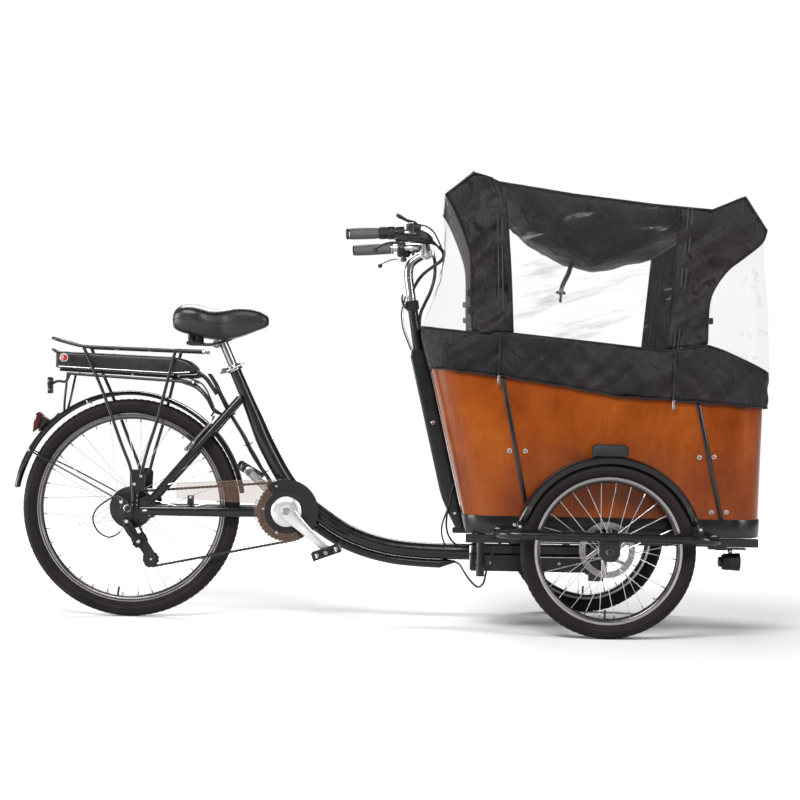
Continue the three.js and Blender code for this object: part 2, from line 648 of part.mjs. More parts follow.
// Outer rail of a front wheel: bent bar, hub plate and the wheel's axle.
function sideBar(side) {
  const y = (value) => value * side;
  const bar = tube([[1102, y(318), 290], [1104, y(400), 295], [1140, y(BAR_Y), 294], [1420, y(BAR_Y), 292],
    [1684, y(BAR_Y), 288], [1718, y(402), 283], [1720, y(318), 278]], 12.5, { sides: 8, bend: 34, steps: 2 });
  const ordered = (a, b) => (side > 0 ? [a, b] : [-b, -a]);
  const hubPlate = plate([[1383, 290], [1383, 240], [1398, 222], [1428, 222], [1443, 240], [1443, 290]],
    ...ordered(414, 420));
  const neck = block([1383, 1443], ordered(414, 428), [283, 297]);
  const axle = rod([WHEELBASE, y(300), FRONT.radius], [WHEELBASE, y(438), FRONT.radius], 6, 12);
  const nut = rod([WHEELBASE, y(420), FRONT.radius], [WHEELBASE, y(429), FRONT.radius], 11, 6);
  return join(bar, hubPlate, neck, axle, nut);
}

// Mudguard with its stays down to the side bar and the rubber step on top.
function frontFender(side) {
  const y = HALF_TRACK * side;
  const strip = fender(WHEELBASE, FRONT.radius, 271, 32, 164, 17, y, 18);
  const step = block([1364, 1465], [y - 26, y + 26], [519, 551]);
  const feet = [[1159, 328, 307.2], [1667, 332, 302]].map(([x, z, barTop]) => join(
    block([x - 8, x + 8], side > 0 ? [y - 30, 424] : [-424, y + 30], [z - 4, z + 4]),
    block([x - 8, x + 8], side > 0 ? [418, 424] : [-424, -418], [barTop, z + 4]),
  ));
  return join(strip, step, ...feet);
}

// ---------------------------------------------------------------- load box
const rearWallX = (z) => BOX.rearBottom - BOX.rearLean * (z - BOX.floorZ);
const frontWallX = (z) => BOX.frontBottom - BOX.frontLean * (z - BOX.floorZ);
const rimZ = (x) => THREE.MathUtils.mapLinear(x, 882, 1868, BOX.rimRearZ, BOX.rimFrontZ);

function roundedRectangle(x0, x1, half, corner) {
  const steps = 4;
  return [
    ...arc(x1 - corner, half - corner, corner, 0, 90, steps),
    ...arc(x0 + corner, half - corner, corner, 90, 180, steps),
    ...arc(x0 + corner, corner - half, corner, 180, 270, steps),
    ...arc(x1 - corner, corner - half, corner, 270, 360, steps),
  ];
}

// A rounded tub between two heights; its ends follow the leaning walls. outset is added all round.
function tub(z0, z1, outset) {
  const [x0, x1] = [BOX.rearBottom - outset, BOX.frontBottom + outset];
  const outline = roundedRectangle(x0, x1, BOX.halfWidth + outset, BOX.corner + outset);
  const shape = new THREE.Shape(outline.map(([x, y]) => new THREE.Vector2(x, y)));
  const geometry = new THREE.ExtrudeGeometry(shape, { depth: z1 - z0, bevelEnabled: false });
  const position = geometry.translate(0, 0, z0).getAttribute('position');
  for (let i = 0; i < position.count; i += 1) {
    const z = Math.max(position.getZ(i), BOX.floorZ);
    const share = (position.getX(i) - BOX.rearBottom) / (BOX.frontBottom - BOX.rearBottom);
    position.setX(i, THREE.MathUtils.lerp(rearWallX(z), frontWallX(z), share));
  }
  return geometry;
}

const belowRim = (raise) => plate(
  [[700, 200], [700, rimZ(700) + raise], [2000, rimZ(2000) + raise], [2000, 200]], -500, 500,
);

// The joints between panels slant with the rear wall.
const REAR_JOINT = [1108, 1187];
const FRONT_JOINT = [1655, 1742];
const jointX = ([top, bottom], z) => THREE.MathUtils.mapLinear(z, 743, 338, top, bottom);
const jointCut = (joint) => plate(
  [[jointX(joint, 200) - 0.5, 200], [jointX(joint, 200) + 0.5, 200],
    [jointX(joint, 900) + 0.5, 900], [jointX(joint, 900) - 0.5, 900]], -400, 400,
);
const behind = (joint) => plate(
  [[700, 200], [jointX(joint, 200), 200], [jointX(joint, 900), 900], [700, 900]], -400, 400,
);

function boxWalls() {
  const shell = cut(tub(BOX.floorZ, 900, 0), tub(BOX.floorZ - 10, 910, -BOX.wall));
  const walls = common(shell, belowRim(0));
  const rear = cut(common(walls, behind(REAR_JOINT)), jointCut(REAR_JOINT));
  const between = common(cut(walls, behind(REAR_JOINT)), behind(FRONT_JOINT));
  const middle = cut(between, jointCut(REAR_JOINT), jointCut(FRONT_JOINT));
  const front = cut(walls, behind(FRONT_JOINT), jointCut(FRONT_JOINT));
  const half = (side) => block([700, 2000], side > 0 ? [0, 500] : [-500, 0], [200, 1000]);
  add('box_rear_panel', rear, PLYWOOD);
  add('box_side_panel_right', common(middle, half(-1)), PLYWOOD);
  add('box_side_panel_left', common(middle, half(1)), PLYWOOD);
  add('box_front_panel', front, PLYWOOD);
}

// Black tray that the walls stand in: a skirt round a floor plate.
function boxTray() {
  const skirt = cut(tub(288, BOX.floorZ + 3, 4), tub(280, 400, 1 - BOX.wall));
  const floor = tub(288, 300, 2 - BOX.wall);
  const rebate = cut(tub(BOX.floorZ - GAP, 400, GAP), tub(BOX.floorZ - 20, 410, -BOX.wall - GAP));
  return cut(join(skirt, floor), rebate);
}

const bench = () => join(
  block([1030, 1300], [-280, 280], [520, 534]),
  block([1286, 1300], [-280, 280], [301, 522]),
);

// Steering column behind the box: foot, wide profile and the round clamp tube.
const COLUMN = { width: 50, half: 20, foot: 284, waist: 404, top: 824 };
const STEM_LEAN = 0.15;
const onColumn = (z) => [842 - STEM_LEAN * (z - 965), 0, z];
const columnRight = (z) => rearWallX(z) - COLUMN_GAP;
function steeringColumn() {
  const { width, foot, waist, top } = COLUMN;
  const profile = plate([
    [columnRight(waist), waist], [columnRight(top), top], [columnRight(top) - width + 6, top + 4],
    [columnRight(top) - width, top - 6], [columnRight(waist) - width, waist], [columnRight(foot) - 30, foot],
    [columnRight(foot) - 14, foot],
  ], -COLUMN.half, COLUMN.half);
  const upper = rod(onColumn(800), onColumn(960), 15, 16);
  const arm = block([976, 1044 - GAP], [-COLUMN.half, COLUMN.half], [270, 286]);
  const flange = block([1030, 1044 - GAP], [-60, 60], [262, 286]);
  const clamp = rod(onColumn(944), onColumn(972), 20, 16);
  const lug = block([812, 836], [-9, 9], [948, 964]);
  const stemBore = rod(onColumn(856), onColumn(990), 12.4, 16);
  return cut(join(profile, upper, arm, flange, clamp, lug), stemBore);
}

function columnClampLever() {
  return join(
    plate([[814, 949], [809, 956], [811, 988], [819, 988], [825, 956]], -24, -17),
    rod([820, -20, 956], [820, -9 - GAP, 956], 5, 10),
  );
}

// ---------------------------------------------------------------- handlebar
const STEM_RADIUS = 11.2;
const BAR_CENTRE = [881, 0, 1116];
const stemTube = () => join(
  tube([onColumn(868), onColumn(1054), [834, 0, 1086], [BAR_CENTRE[0] - 6, 0, BAR_CENTRE[2] - 4]],
    STEM_RADIUS, { sides: 12, bend: 34 }),
  rod([BAR_CENTRE[0], -21, BAR_CENTRE[2]], [BAR_CENTRE[0], 21, BAR_CENTRE[2]], 19, 16),
);

const stem = () => cut(stemTube(), disc(BAR_CENTRE[0], BAR_CENTRE[2], 11 + GAP * 2, -60, 60, 16));

const GRIP_INNER = (side) => [776, 268 * side, 1153];
const GRIP_OUTER = (side) => [654, 284 * side, 1146];
const onGrip = (side, share) => vec(GRIP_INNER(side)).lerp(vec(GRIP_OUTER(side)), share).toArray();

function handlebar() {
  const path = [
    onGrip(-1, 0.97), onGrip(-1, -0.38), [874, -200, 1158], [884, -80, 1124], [881, -40, 1116],
    [881, 40, 1116], [884, 80, 1124], [874, 200, 1158], onGrip(1, -0.38), onGrip(1, 0.97),
  ];
  const bar = tube(path, 11, { sides: 8, bend: 34, steps: 2 });
  const perches = [-1, 1].map((side) => join(
    rod([792, 266 * side, 1154], [812, 255 * side, 1155], 17, 12),
    block([796, 826], side > 0 ? [262, 292] : [-292, -262], [1126, 1150]),
  ));
  const shifter = rod([838, -236, 1158], [838, -236, 1186], 15, 14);
  const thumbHole = rod([838, -236, 1181], [838, -236, 1200], 6, 12);
  return cut(join(bar, ...perches, shifter), thumbHole);
}

function gripSleeve(side, from, to, radius) {
  const sleeve = rod(onGrip(side, from), onGrip(side, to), radius, 16);
  const room = rod(onGrip(side, from - 0.2), onGrip(side, 0.975), 12.2, 14);
  return cut(sleeve, room);
}

function brakeLever(side) {
  const y = (value) => value * side;
  return join(
    tube([[818, y(277), 1120], [776, y(300), 1108], [712, y(306), 1098], [690, y(306), 1096]], 5,
      { sides: 6, bend: 24, steps: 2 }),
    rod([686, y(306), 1096], [696, y(306), 1096], 8, 10),
    rod([811, y(277), 1112], [811, y(277), 1126 - GAP], 9, 12),
  );
}

const thumbShifter = () => join(
  rod([838, -236, 1182], [838, -236, 1194], 5, 12),
  shapedTube([[840, -236, 1192, 6, 3.5], [812, -246, 1206, 8, 3.5], [793, -254, 1222, 9, 5]], 8),
);

// ---------------------------------------------------------------- headlight
const headlightBracket = () => join(
  block([1728, 1822], [-268, -232], [252, 256.5]),
  block([1730, 1760], [-300, -232], [252, 263]),
  block([1772, 1786], [-244, -238], [245, 254]),
);
const headlight = () => join(
  rod([1752, -250, 216], [1806, -250, 216], 22, 16, 26),
  rod([1745, -250, 216], [1753, -250, 216], 14, 12),
  block([1773, 1785], [-250, -246], [220, 251]),
);

// ---------------------------------------------------------------- canopy
// Side outline of the cover from the rear hem over the roof to the front hem.
const CANOPY_HALF = 326;
const CANOPY = [
  [893, 764], [877, 836], [876, 884], [933, 1262], [938, 1284], [1020, 1352], [1080, 1318],
  [1300, 1280], [1540, 1252],
  [1705, 1240], [1800, 1288], [1868, 1192], [1852, 1148], [1888, 766], [1877, 664],
];

function canopyShape(inset, floorDrop) {
  const outline = CANOPY.map(([x, z]) => {
    const centre = [1380, 960];
    const reach = Math.hypot(x - centre[0], z - centre[1]);
    const share = (reach - inset) / reach;
    return [centre[0] + (x - centre[0]) * share, centre[1] + (z - centre[1]) * share];
  });
  if (floorDrop) {
    outline[0][1] -= floorDrop;
    outline.at(-1)[1] -= floorDrop;
  }
  return plate(outline, inset - CANOPY_HALF, CANOPY_HALF - inset);
}

function canopy() {
  const rounding = common(
    canopyShape(0, 0),
    roundedPrism(870, 1892, CANOPY_HALF, 90),
  );
  const hollow = common(canopyShape(6, 60), roundedPrism(876, 1886, CANOPY_HALF - 6, 84));
  const columnNotch = block([850, 915], [-26, 26], [700, 838]);
  return cut(rounding, hollow, columnNotch);
}

function roundedPrism(x0, x1, half, corner) {
  const shape = new THREE.Shape(roundedRectangle(x0, x1, half, corner).map(([x, y]) => new THREE.Vector2(x, y)));
  return new THREE.ExtrudeGeometry(shape, { depth: 900, bevelEnabled: false }).translate(0, 0, 560);
}

// ---------------------------------------------------------------- whole bicycle
function buildRearFrame() {
  add('main_tube', mainTube(), BLACK_PAINT);
  add('lower_tube', lowerTube(), BLACK_PAINT);
  add('rear_triangle', rearTriangle(), BLACK_PAINT);
  add('steering_head', steeringHead(), BLACK_PAINT);
  add('rear_fender', rearFender(), BLACK_PAINT);
  add('luggage_rack', luggageRack(), BLACK_PAINT);
  add('battery_rail', batteryRail(), BLACK_PLASTIC);
  add('battery', battery(), BLACK_PLASTIC);
  add('battery_lock', batteryLock(), RED_PLASTIC);
  add('tail_light', tailLight(), RED_PLASTIC);
  add('seat_clamp', seatClamp(), SILVER);
  add('seat_clamp_lever', seatClampLever(), SILVER);
  add('seat_post', seatPost(), CHROME);
  add('saddle', saddle(), LEATHERETTE);
  add('rear_cables', rearCables(), BLACK_PLASTIC);
}

function buildDrivetrain() {
  const atRearAxle = (geometry) => geometry.translate(0, 0, REAR.radius);
  add('rear_tyre', atRearAxle(tyreRing(REAR)), TYRE_RUBBER);
  add('rear_wheel', atRearAxle(rearWheel()), SILVER);
  add('rear_axle', atRearAxle(rearAxle()), STEEL);
  add('freewheel', atRearAxle(freewheel()), STEEL);
  const spindle = rod([0, -66, 0], [0, 73, 0], 8, 12);
  add('crank_right', atCrank(crankArm(-1), -1), SILVER);
  add('crank_left', atCrank(join(crankArm(1), spindle), 1), SILVER);
  add('chainring', atCrank(chainring(), -1), STEEL);
  add('chainring_disc', atCrank(chainringDisc(), -1), BLACK_PLASTIC);
  add('pedal_right', atPedal(pedal(-1), -1, 20), BLACK_PLASTIC);
  add('pedal_left', atPedal(pedal(1), 1, -30), BLACK_PLASTIC);
  add('chain', chain(), STEEL);
  add('chain_guard', chainGuard(), SMOKY_PLASTIC);
  add('derailleur_body', derailleurBody(), STEEL);
  add('derailleur_cage', derailleurCage(), STEEL);
  add('upper_pulley', pulley(CAGE_TOP), BLACK_PLASTIC);
  add('lower_pulley', pulley(CAGE_BOTTOM), BLACK_PLASTIC);
  add('brake_arm_right', brakeArm(-1), BLACK_PAINT);
  add('brake_arm_left', brakeArm(1), BLACK_PAINT);
}

function buildFrontModule() {
  add('front_subframe', steeringSubframe(), BLACK_PAINT);
  for (const [side, name] of [[-1, 'right'], [1, 'left']]) {
    const atFrontAxle = (geometry) => geometry.translate(WHEELBASE, HALF_TRACK * side, FRONT.radius);
    add(`front_tyre_${name}`, atFrontAxle(tyreRing(FRONT)), TYRE_RUBBER);
    add(`front_wheel_${name}`, atFrontAxle(frontWheel(side)), SILVER);
    add(`side_bar_${name}`, sideBar(side), BLACK_PAINT);
    add(`front_fender_${name}`, frontFender(side), BLACK_PAINT);
    add(`grip_${name}`, gripSleeve(side, side < 0 ? 0.28 : 0, 1.03, 15.5), BLACK_PLASTIC);
    add(`brake_lever_${name}`, brakeLever(side), SILVER);
  }
  boxWalls();
  add('box_tray', boxTray(), BLACK_PLASTIC);
  add('bench', bench(), PLYWOOD);
  add('steering_column', steeringColumn(), BLACK_PAINT);
  add('column_clamp_lever', columnClampLever(), STEEL);
  add('stem', stem(), CHROME);
  add('handlebar', handlebar(), CHROME);
  add('throttle_grip', gripSleeve(-1, 0.0, 0.27, 17), BLACK_PLASTIC);
  add('thumb_shifter', thumbShifter(), BLACK_PLASTIC);
  add('headlight', headlight(), BLACK_PLASTIC);
  add('canopy', canopy(), FABRIC);
}

buildRearFrame();
buildDrivetrain();
buildFrontModule();
const bounds = new THREE.Box3().setFromObject(bicycle);
bicycle.position.x = -(bounds.min.x + bounds.max.x) / 2;

export default bicycle;
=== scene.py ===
import json
import math

import bmesh
import bpy
import numpy as np
from mathutils import Matrix, Vector, noise


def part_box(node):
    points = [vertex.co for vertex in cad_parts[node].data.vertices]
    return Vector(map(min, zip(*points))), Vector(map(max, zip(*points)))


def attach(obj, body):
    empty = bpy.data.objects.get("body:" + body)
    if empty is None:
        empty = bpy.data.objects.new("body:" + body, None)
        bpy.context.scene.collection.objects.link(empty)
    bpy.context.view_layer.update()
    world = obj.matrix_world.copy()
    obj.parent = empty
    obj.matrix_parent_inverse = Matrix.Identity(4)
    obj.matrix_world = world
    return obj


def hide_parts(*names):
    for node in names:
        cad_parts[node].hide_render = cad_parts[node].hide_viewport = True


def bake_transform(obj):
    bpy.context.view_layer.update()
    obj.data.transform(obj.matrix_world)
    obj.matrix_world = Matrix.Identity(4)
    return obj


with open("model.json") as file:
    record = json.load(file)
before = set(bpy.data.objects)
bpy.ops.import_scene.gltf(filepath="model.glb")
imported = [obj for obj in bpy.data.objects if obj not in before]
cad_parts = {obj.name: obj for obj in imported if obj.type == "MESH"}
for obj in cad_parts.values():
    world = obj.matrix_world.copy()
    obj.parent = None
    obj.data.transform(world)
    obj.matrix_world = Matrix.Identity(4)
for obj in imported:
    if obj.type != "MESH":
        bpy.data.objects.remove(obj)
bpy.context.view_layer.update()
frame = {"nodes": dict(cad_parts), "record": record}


# ---------------------------------------------------------------- places taken from the frame
def middle(node):
    low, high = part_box(node)
    return [(a + b) / 2 for a, b in zip(low, high)]


JOINTS = {joint["name"]: joint for joint in frame["record"]["behaviour"]["joints"]}
AXLE_X = middle("rear_tyre")[0]  # the layout below is in millimetres from the rear axle


def local(point):
    """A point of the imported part, in metres there, in layout millimetres."""
    return [(point[0] - AXLE_X) * 1000, point[1] * 1000, point[2] * 1000]


def joint_at(name):
    return local(JOINTS[name]["pos_m"])


REAR_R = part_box("rear_tyre")[1][2] * 500
FRONT_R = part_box("front_tyre_right")[1][2] * 500
FRONT_X = local(middle("front_tyre_right"))[0]
TRACK = local(middle("front_tyre_left"))[1]
BB_X, _, BB_Z = joint_at("crank_spin")
REAR_RIM, FRONT_RIM = 285.5, 210  # radius over the edge of each rim
CHAIN_PITCH = 12.7
RING_R = 89  # pitch radius of the chainring
PULLEY_R = 22.54
PULLEYS = (("upper_pulley", 31, 232), ("lower_pulley", 68, 177))

# ---------------------------------------------------------------- camera
CAMERA_AT = (877.6, -5775.0, 640.2)
YAW, PITCH, ROLL = -0.0116, 0.0052, -0.0172
LENS = 85.525


def place(point):
    return Vector((AXLE_X + point[0] * 0.001, point[1] * 0.001, point[2] * 0.001))


def make_camera():
    forward = Vector((math.sin(YAW) * math.cos(PITCH), math.cos(YAW) * math.cos(PITCH), math.sin(PITCH)))
    flat_right = Vector((math.cos(YAW), -math.sin(YAW), 0))
    down = forward.cross(flat_right)
    right = flat_right * math.cos(ROLL) + down * math.sin(ROLL)
    up = flat_right * math.sin(ROLL) - down * math.cos(ROLL)
    turn = Matrix((right, up, -forward)).transposed().to_4x4()
    data = bpy.data.cameras.new("camera")
    data.lens, data.sensor_width, data.sensor_fit = LENS, 36, "HORIZONTAL"
    data.clip_end = 60
    camera = bpy.data.objects.new("camera", data)
    camera.matrix_world = Matrix.Translation(place(CAMERA_AT)) @ turn
    bpy.context.scene.collection.objects.link(camera)
    bpy.context.scene.camera = camera


make_camera()


# ---------------------------------------------------------------- materials
def new_material(name):
    made = bpy.data.materials.new(name)
    made.use_nodes = True
    nodes, links = made.node_tree.nodes, made.node_tree.links
    shader = nodes["Principled BSDF"]
    where = nodes.new("ShaderNodeTexCoord")
    return made, nodes, links, shader, where


def noise_node(nodes, links, source, scale, detail=4.0, stretch=(1, 1, 1), rough=0.55, tilt=0.0):
    if tilt:
        turn = nodes.new("ShaderNodeMapping")
        turn.inputs["Rotation"].default_value = (0.0, tilt, 0.0)
        links.new(source, turn.inputs["Vector"])
        source = turn.outputs["Vector"]
    shape = nodes.new("ShaderNodeMapping")
    shape.inputs["Scale"].default_value = stretch
    links.new(source, shape.inputs["Vector"])
    made = nodes.new("ShaderNodeTexNoise")
    made.inputs["Scale"].default_value = scale
    made.inputs["Detail"].default_value = detail
    made.inputs["Roughness"].default_value = rough
    links.new(shape.outputs["Vector"], made.inputs["Vector"])
    return made.outputs["Fac"]


def blend_colors(nodes, links, factor, stops):
    ramp = nodes.new("ShaderNodeValToRGB")
    while len(ramp.color_ramp.elements) < len(stops):
        ramp.color_ramp.elements.new(0.5)
    for element, (position, color) in zip(ramp.color_ramp.elements, stops):
        element.position = position
        element.color = (*color, 1)
    links.new(factor, ramp.inputs["Fac"])
    return ramp.outputs["Color"]


def remap(nodes, links, factor, low, high, start=0.3, end=0.7):
    ranged = nodes.new("ShaderNodeMapRange")
    for key, value in (("From Min", start), ("From Max", end), ("To Min", low), ("To Max", high)):
        ranged.inputs[key].default_value = value
    links.new(factor, ranged.inputs["Value"])
    return ranged.outputs["Result"]


def add_bump(nodes, links, shader, factor, strength, distance=0.001, under=None):
    bump = nodes.new("ShaderNodeBump")
    bump.inputs["Strength"].default_value = strength
    bump.inputs["Distance"].default_value = distance
    links.new(factor, bump.inputs["Height"])
    if under:
        links.new(under, bump.inputs["Normal"])
    links.new(bump.outputs["Normal"], shader.inputs["Normal"])
    return bump.outputs["Normal"]


def finish_of(name, color, rough, metal, vary, fine, bump, coat=0.0, specular=0.5, rough_vary=0.08):
    """A general finish: cloudy colour and roughness, and a fine surface grain."""
    made, nodes, links, shader, where = new_material(name)
    source = where.outputs["Object"]
    clouds = noise_node(nodes, links, source, 9.0, 5.0)
    dark = tuple(c * (1 - vary) for c in color)
    light = tuple(min(1.0, c * (1 + vary)) for c in color)
    links.new(blend_colors(nodes, links, clouds, [(0.3, dark), (0.7, light)]), shader.inputs["Base Color"])
    smudge = noise_node(nodes, links, source, 34.0, 6.0)
    links.new(remap(nodes, links, smudge, max(0.02, rough - rough_vary), rough + rough_vary),
              shader.inputs["Roughness"])
    grain = noise_node(nodes, links, source, fine, 3.0)
    add_bump(nodes, links, shader, grain, bump)
    shader.inputs["Metallic"].default_value = metal
    shader.inputs["Coat Weight"].default_value = coat
    shader.inputs["Coat Roughness"].default_value = 0.08
    shader.inputs["Specular IOR Level"].default_value = specular
    return made


def wood_material():
    made, nodes, links, shader, where = new_material("varnished_plywood")
    source = where.outputs["Object"]
    figure = noise_node(nodes, links, source, 4.0, 7.0, (1.4, 1.4, 0.9), 0.6)
    base = blend_colors(nodes, links, figure, [(0.25, (0.082, 0.0135, 0.001)),
                                               (0.45, (0.14, 0.026, 0.0016)), (0.6, (0.19, 0.041, 0.0028)),
                                               (0.8, (0.25, 0.064, 0.0045))])
    streaks = noise_node(nodes, links, source, 22.0, 6.0, (6.0, 6.0, 0.8), 0.7)
    streak_color = blend_colors(nodes, links, streaks, [(0.35, (0.78, 0.7, 0.62)), (0.62, (1.0, 1.0, 1.0))])
    mix = nodes.new("ShaderNodeMix")
    mix.data_type, mix.blend_type = "RGBA", "MULTIPLY"
    mix.inputs["Factor"].default_value = 0.55
    links.new(base, mix.inputs["A"])
    links.new(streak_color, mix.inputs["B"])
    links.new(mix.outputs["Result"], shader.inputs["Base Color"])
    links.new(remap(nodes, links, figure, 0.16, 0.28), shader.inputs["Roughness"])
    add_bump(nodes, links, shader, streaks, 0.03)
    shader.inputs["Specular IOR Level"].default_value = 0.12
    shader.inputs["Coat Weight"].default_value = 0.22
    shader.inputs["Coat Roughness"].default_value = 0.07
    return made


def fabric_material(name, color, weave=900.0):
    """Coated canvas: two crossed thread waves, creases and a faint sheen."""
    made, nodes, links, shader, where = new_material(name)
    source = where.outputs["Object"]
    clouds = noise_node(nodes, links, source, 6.0, 6.0)
    dark = tuple(c * 0.7 for c in color)
    light = tuple(c * 1.45 for c in color)
    links.new(blend_colors(nodes, links, clouds, [(0.3, dark), (0.72, light)]), shader.inputs["Base Color"])
    creases = noise_node(nodes, links, source, 7.5, 8.0, (1.3, 1.3, 0.7), 0.62)
    soft = add_bump(nodes, links, shader, creases, 0.9, 0.03)
    for tilt in (0.75, -0.9):
        pulls = noise_node(nodes, links, source, 2.6, 2.0, (1.0, 1.0, 4.0), 0.4, tilt)
        soft = add_bump(nodes, links, shader, pulls, 1.0, 0.04, soft)
    heights = []
    for direction in ("X", "Z"):
        wave = nodes.new("ShaderNodeTexWave")
        wave.bands_direction = direction
        wave.inputs["Scale"].default_value = weave
        links.new(source, wave.inputs["Vector"])
        heights.append(wave.outputs["Fac"])
    both = nodes.new("ShaderNodeMath")
    both.operation = "MAXIMUM"
    links.new(heights[0], both.inputs[0])
    links.new(heights[1], both.inputs[1])
    add_bump(nodes, links, shader, both.outputs["Value"], 0.05, 0.0003, soft)
    links.new(remap(nodes, links, creases, 0.34, 0.52), shader.inputs["Roughness"])
    shader.inputs["Specular IOR Level"].default_value = 0.17
    return made


def film_material(name, color, alpha, streaks=1.2, rough=0.05):
    """Soft clear film with ripples and cloudy streaks of painted reflection, where the film is more opaque
    and lighter.
    """
    made, nodes, links, shader, where = new_material(name)
    source = where.outputs["Object"]
    ripples = noise_node(nodes, links, source, 7.0, 3.0, (1, 1, 0.5))
    add_bump(nodes, links, shader, ripples, 0.6, 0.02)
    # painted reflection: a stretched noise makes streaks of more opaque, lighter film in place of reflected
    # light
    painted_reflection_streaks = noise_node(nodes, links, source, 4.0, 6.0, (0.8, 1.0, 4.5), 0.6, 0.25)
    links.new(remap(nodes, links, painted_reflection_streaks, alpha, min(1.0, alpha * streaks), 0.58, 0.74),
              shader.inputs["Alpha"])
    links.new(blend_colors(nodes, links, painted_reflection_streaks, [(0.2, color), (0.8, tuple(min(1, c * 1.1) for c in color))]),
              shader.inputs["Base Color"])
    shader.inputs["Roughness"].default_value = rough
    shader.inputs["Specular IOR Level"].default_value = 0.35
    return made


BLACK_PAINT = finish_of("satin_black_paint", (0.004, 0.004, 0.0045), 0.28, 0.0, 0.3, 1500, 0.03, coat=0.08,
                        specular=0.34)
GLOSS_BLACK = finish_of("gloss_black_paint", (0.004, 0.004, 0.0045), 0.17, 0.0, 0.3, 1500, 0.02, coat=0.18,
                        specular=0.4)
SILVER = finish_of("satin_silver", (0.6, 0.595, 0.6), 0.3, 0.85, 0.1, 1600, 0.05)
RIM = finish_of("dark_rim", (0.085, 0.08, 0.08), 0.24, 0.85, 0.2, 900, 0.04)
BRIGHT = finish_of("polished_silver", (0.33, 0.31, 0.315), 0.2, 1.0, 0.08, 1200, 0.02, rough_vary=0.05)
STEEL = finish_of("bare_steel", (0.26, 0.245, 0.235), 0.33, 1.0, 0.3, 700, 0.1)
DARK_STEEL = finish_of("dark_steel", (0.04, 0.038, 0.037), 0.35, 0.9, 0.3, 700, 0.08)
TYRE = finish_of("tyre_rubber", (0.0085, 0.0062, 0.0058), 0.7, 0.0, 0.4, 420, 0.35, specular=0.16)
PLASTIC = finish_of("black_plastic", (0.005, 0.005, 0.0055), 0.4, 0.0, 0.3, 1100, 0.12, specular=0.32)
MATT_BLACK = finish_of("matt_black_plastic", (0.007, 0.007, 0.0075), 0.6, 0.0, 0.3, 700, 0.25, specular=0.28)
GRIP = finish_of("grip_rubber", (0.045, 0.047, 0.052), 0.62, 0.0, 0.25, 1500, 0.5)
CABLE = finish_of("cable_jacket", (0.004, 0.004, 0.0045), 0.38, 0.0, 0.3, 900, 0.06, specular=0.4)
RED = finish_of("red_plastic", (0.42, 0.008, 0.012), 0.2, 0.0, 0.25, 300, 0.05, coat=0.5)
RED_LENS = finish_of("dark_red_lens", (0.035, 0.002, 0.003), 0.14, 0.0, 0.3, 300, 0.05, coat=0.7)
WHITE_LENS = finish_of("clear_lens", (0.75, 0.77, 0.8), 0.12, 0.3, 0.1, 300, 0.08, coat=0.9)
LEATHER = finish_of("leatherette", (0.008, 0.0062, 0.0066), 0.32, 0.0, 0.3, 520, 0.45, specular=0.4)
WOOD = wood_material()
FABRIC = fabric_material("coated_canvas", (0.0056, 0.0037, 0.0044))
ROOF_FABRIC = fabric_material("roof_canvas", (0.0036, 0.0030, 0.0033))
WEBBING = fabric_material("black_webbing", (0.009, 0.008, 0.009), 1400.0)
FILM = film_material("clear_film", (0.62, 0.61, 0.62), 0.008, 36.0)
CREASED_FILM = film_material("creased_film", (0.42, 0.41, 0.42), 0.06, 4.5)
SMOKY = film_material("smoky_plastic", (0.15, 0.085, 0.06), 0.18, 1.25, 0.12)


# ---------------------------------------------------------------- curves
# Points are (x, y, z) in layout millimetres, outlines are (x, z) and profiles are (radius, height).
def curve(points, per):
    """A smooth curve through points; any numbers after x, y, z are carried along."""
    p = np.array(points, float)
    rows = []
    for i in range(len(p) - 1):
        before = p[i - 1] if i else 2 * p[0] - p[1]
        here, there = p[i], p[i + 1]
        after = p[i + 2] if i + 2 < len(p) else 2 * p[-1] - p[-2]
        for k in range(per):
            t = k / per
            square = (2 * before - 5 * here + 4 * there - after) * t ** 2
            cube = (3 * here - before - 3 * there + after) * t ** 3
            rows.append(0.5 * (2 * here + (there - before) * t + square + cube))
    rows.append(p[-1])
    return np.array(rows)


def bent(corners, bend=40.0, steps=6):
    """Straight runs joined by short curves."""
    p = np.array(corners, float)
    rows = [p[0]]
    for i in range(1, len(p) - 1):
        back, ahead = p[i - 1] - p[i], p[i + 1] - p[i]
        reach = min(bend, np.linalg.norm(back[:3]) * 0.48, np.linalg.norm(ahead[:3]) * 0.48)
        start = p[i] + back / np.linalg.norm(back[:3]) * reach
        end = p[i] + ahead / np.linalg.norm(ahead[:3]) * reach
        for k in range(steps + 1):
            t = k / steps
            rows.append(start * (1 - t) ** 2 + 2 * p[i] * t * (1 - t) + end * t * t)
    rows.append(p[-1])
    return np.array(rows)


def resample(path, count):
    """The same line with evenly spaced points."""
    p = np.array(path, float)
    steps = np.linalg.norm(np.diff(p, axis=0), axis=1)
    along = np.concatenate([[0], np.cumsum(steps)])
    wanted = np.linspace(0, along[-1], count)
    return np.stack([np.interp(wanted, along, p[:, k]) for k in range(p.shape[1])], axis=1)


def polar(cx, cz, radius, degrees):
    """The (x, z) point at an angle from +X round a centre."""
    return cx + radius * math.cos(math.radians(degrees)), cz + radius * math.sin(math.radians(degrees))


def arc(cx, cz, radius, start, end, steps):
    return [polar(cx, cz, radius, angle) for angle in np.linspace(start, end, steps + 1)]


def unit(v):
    return v / (np.linalg.norm(v) or 1.0)


def circle(count, shift=0.0):
    """Cosine and sine of evenly spaced angles round a full turn."""
    angles = [2 * math.pi * (k + shift) / count for k in range(count)]
    return [(math.cos(a), math.sin(a)) for a in angles]


def squarish(value, power):
    """Turns a cosine or sine of a circle into that of a rounded square."""
    return math.copysign(abs(value) ** (2 / power), value)


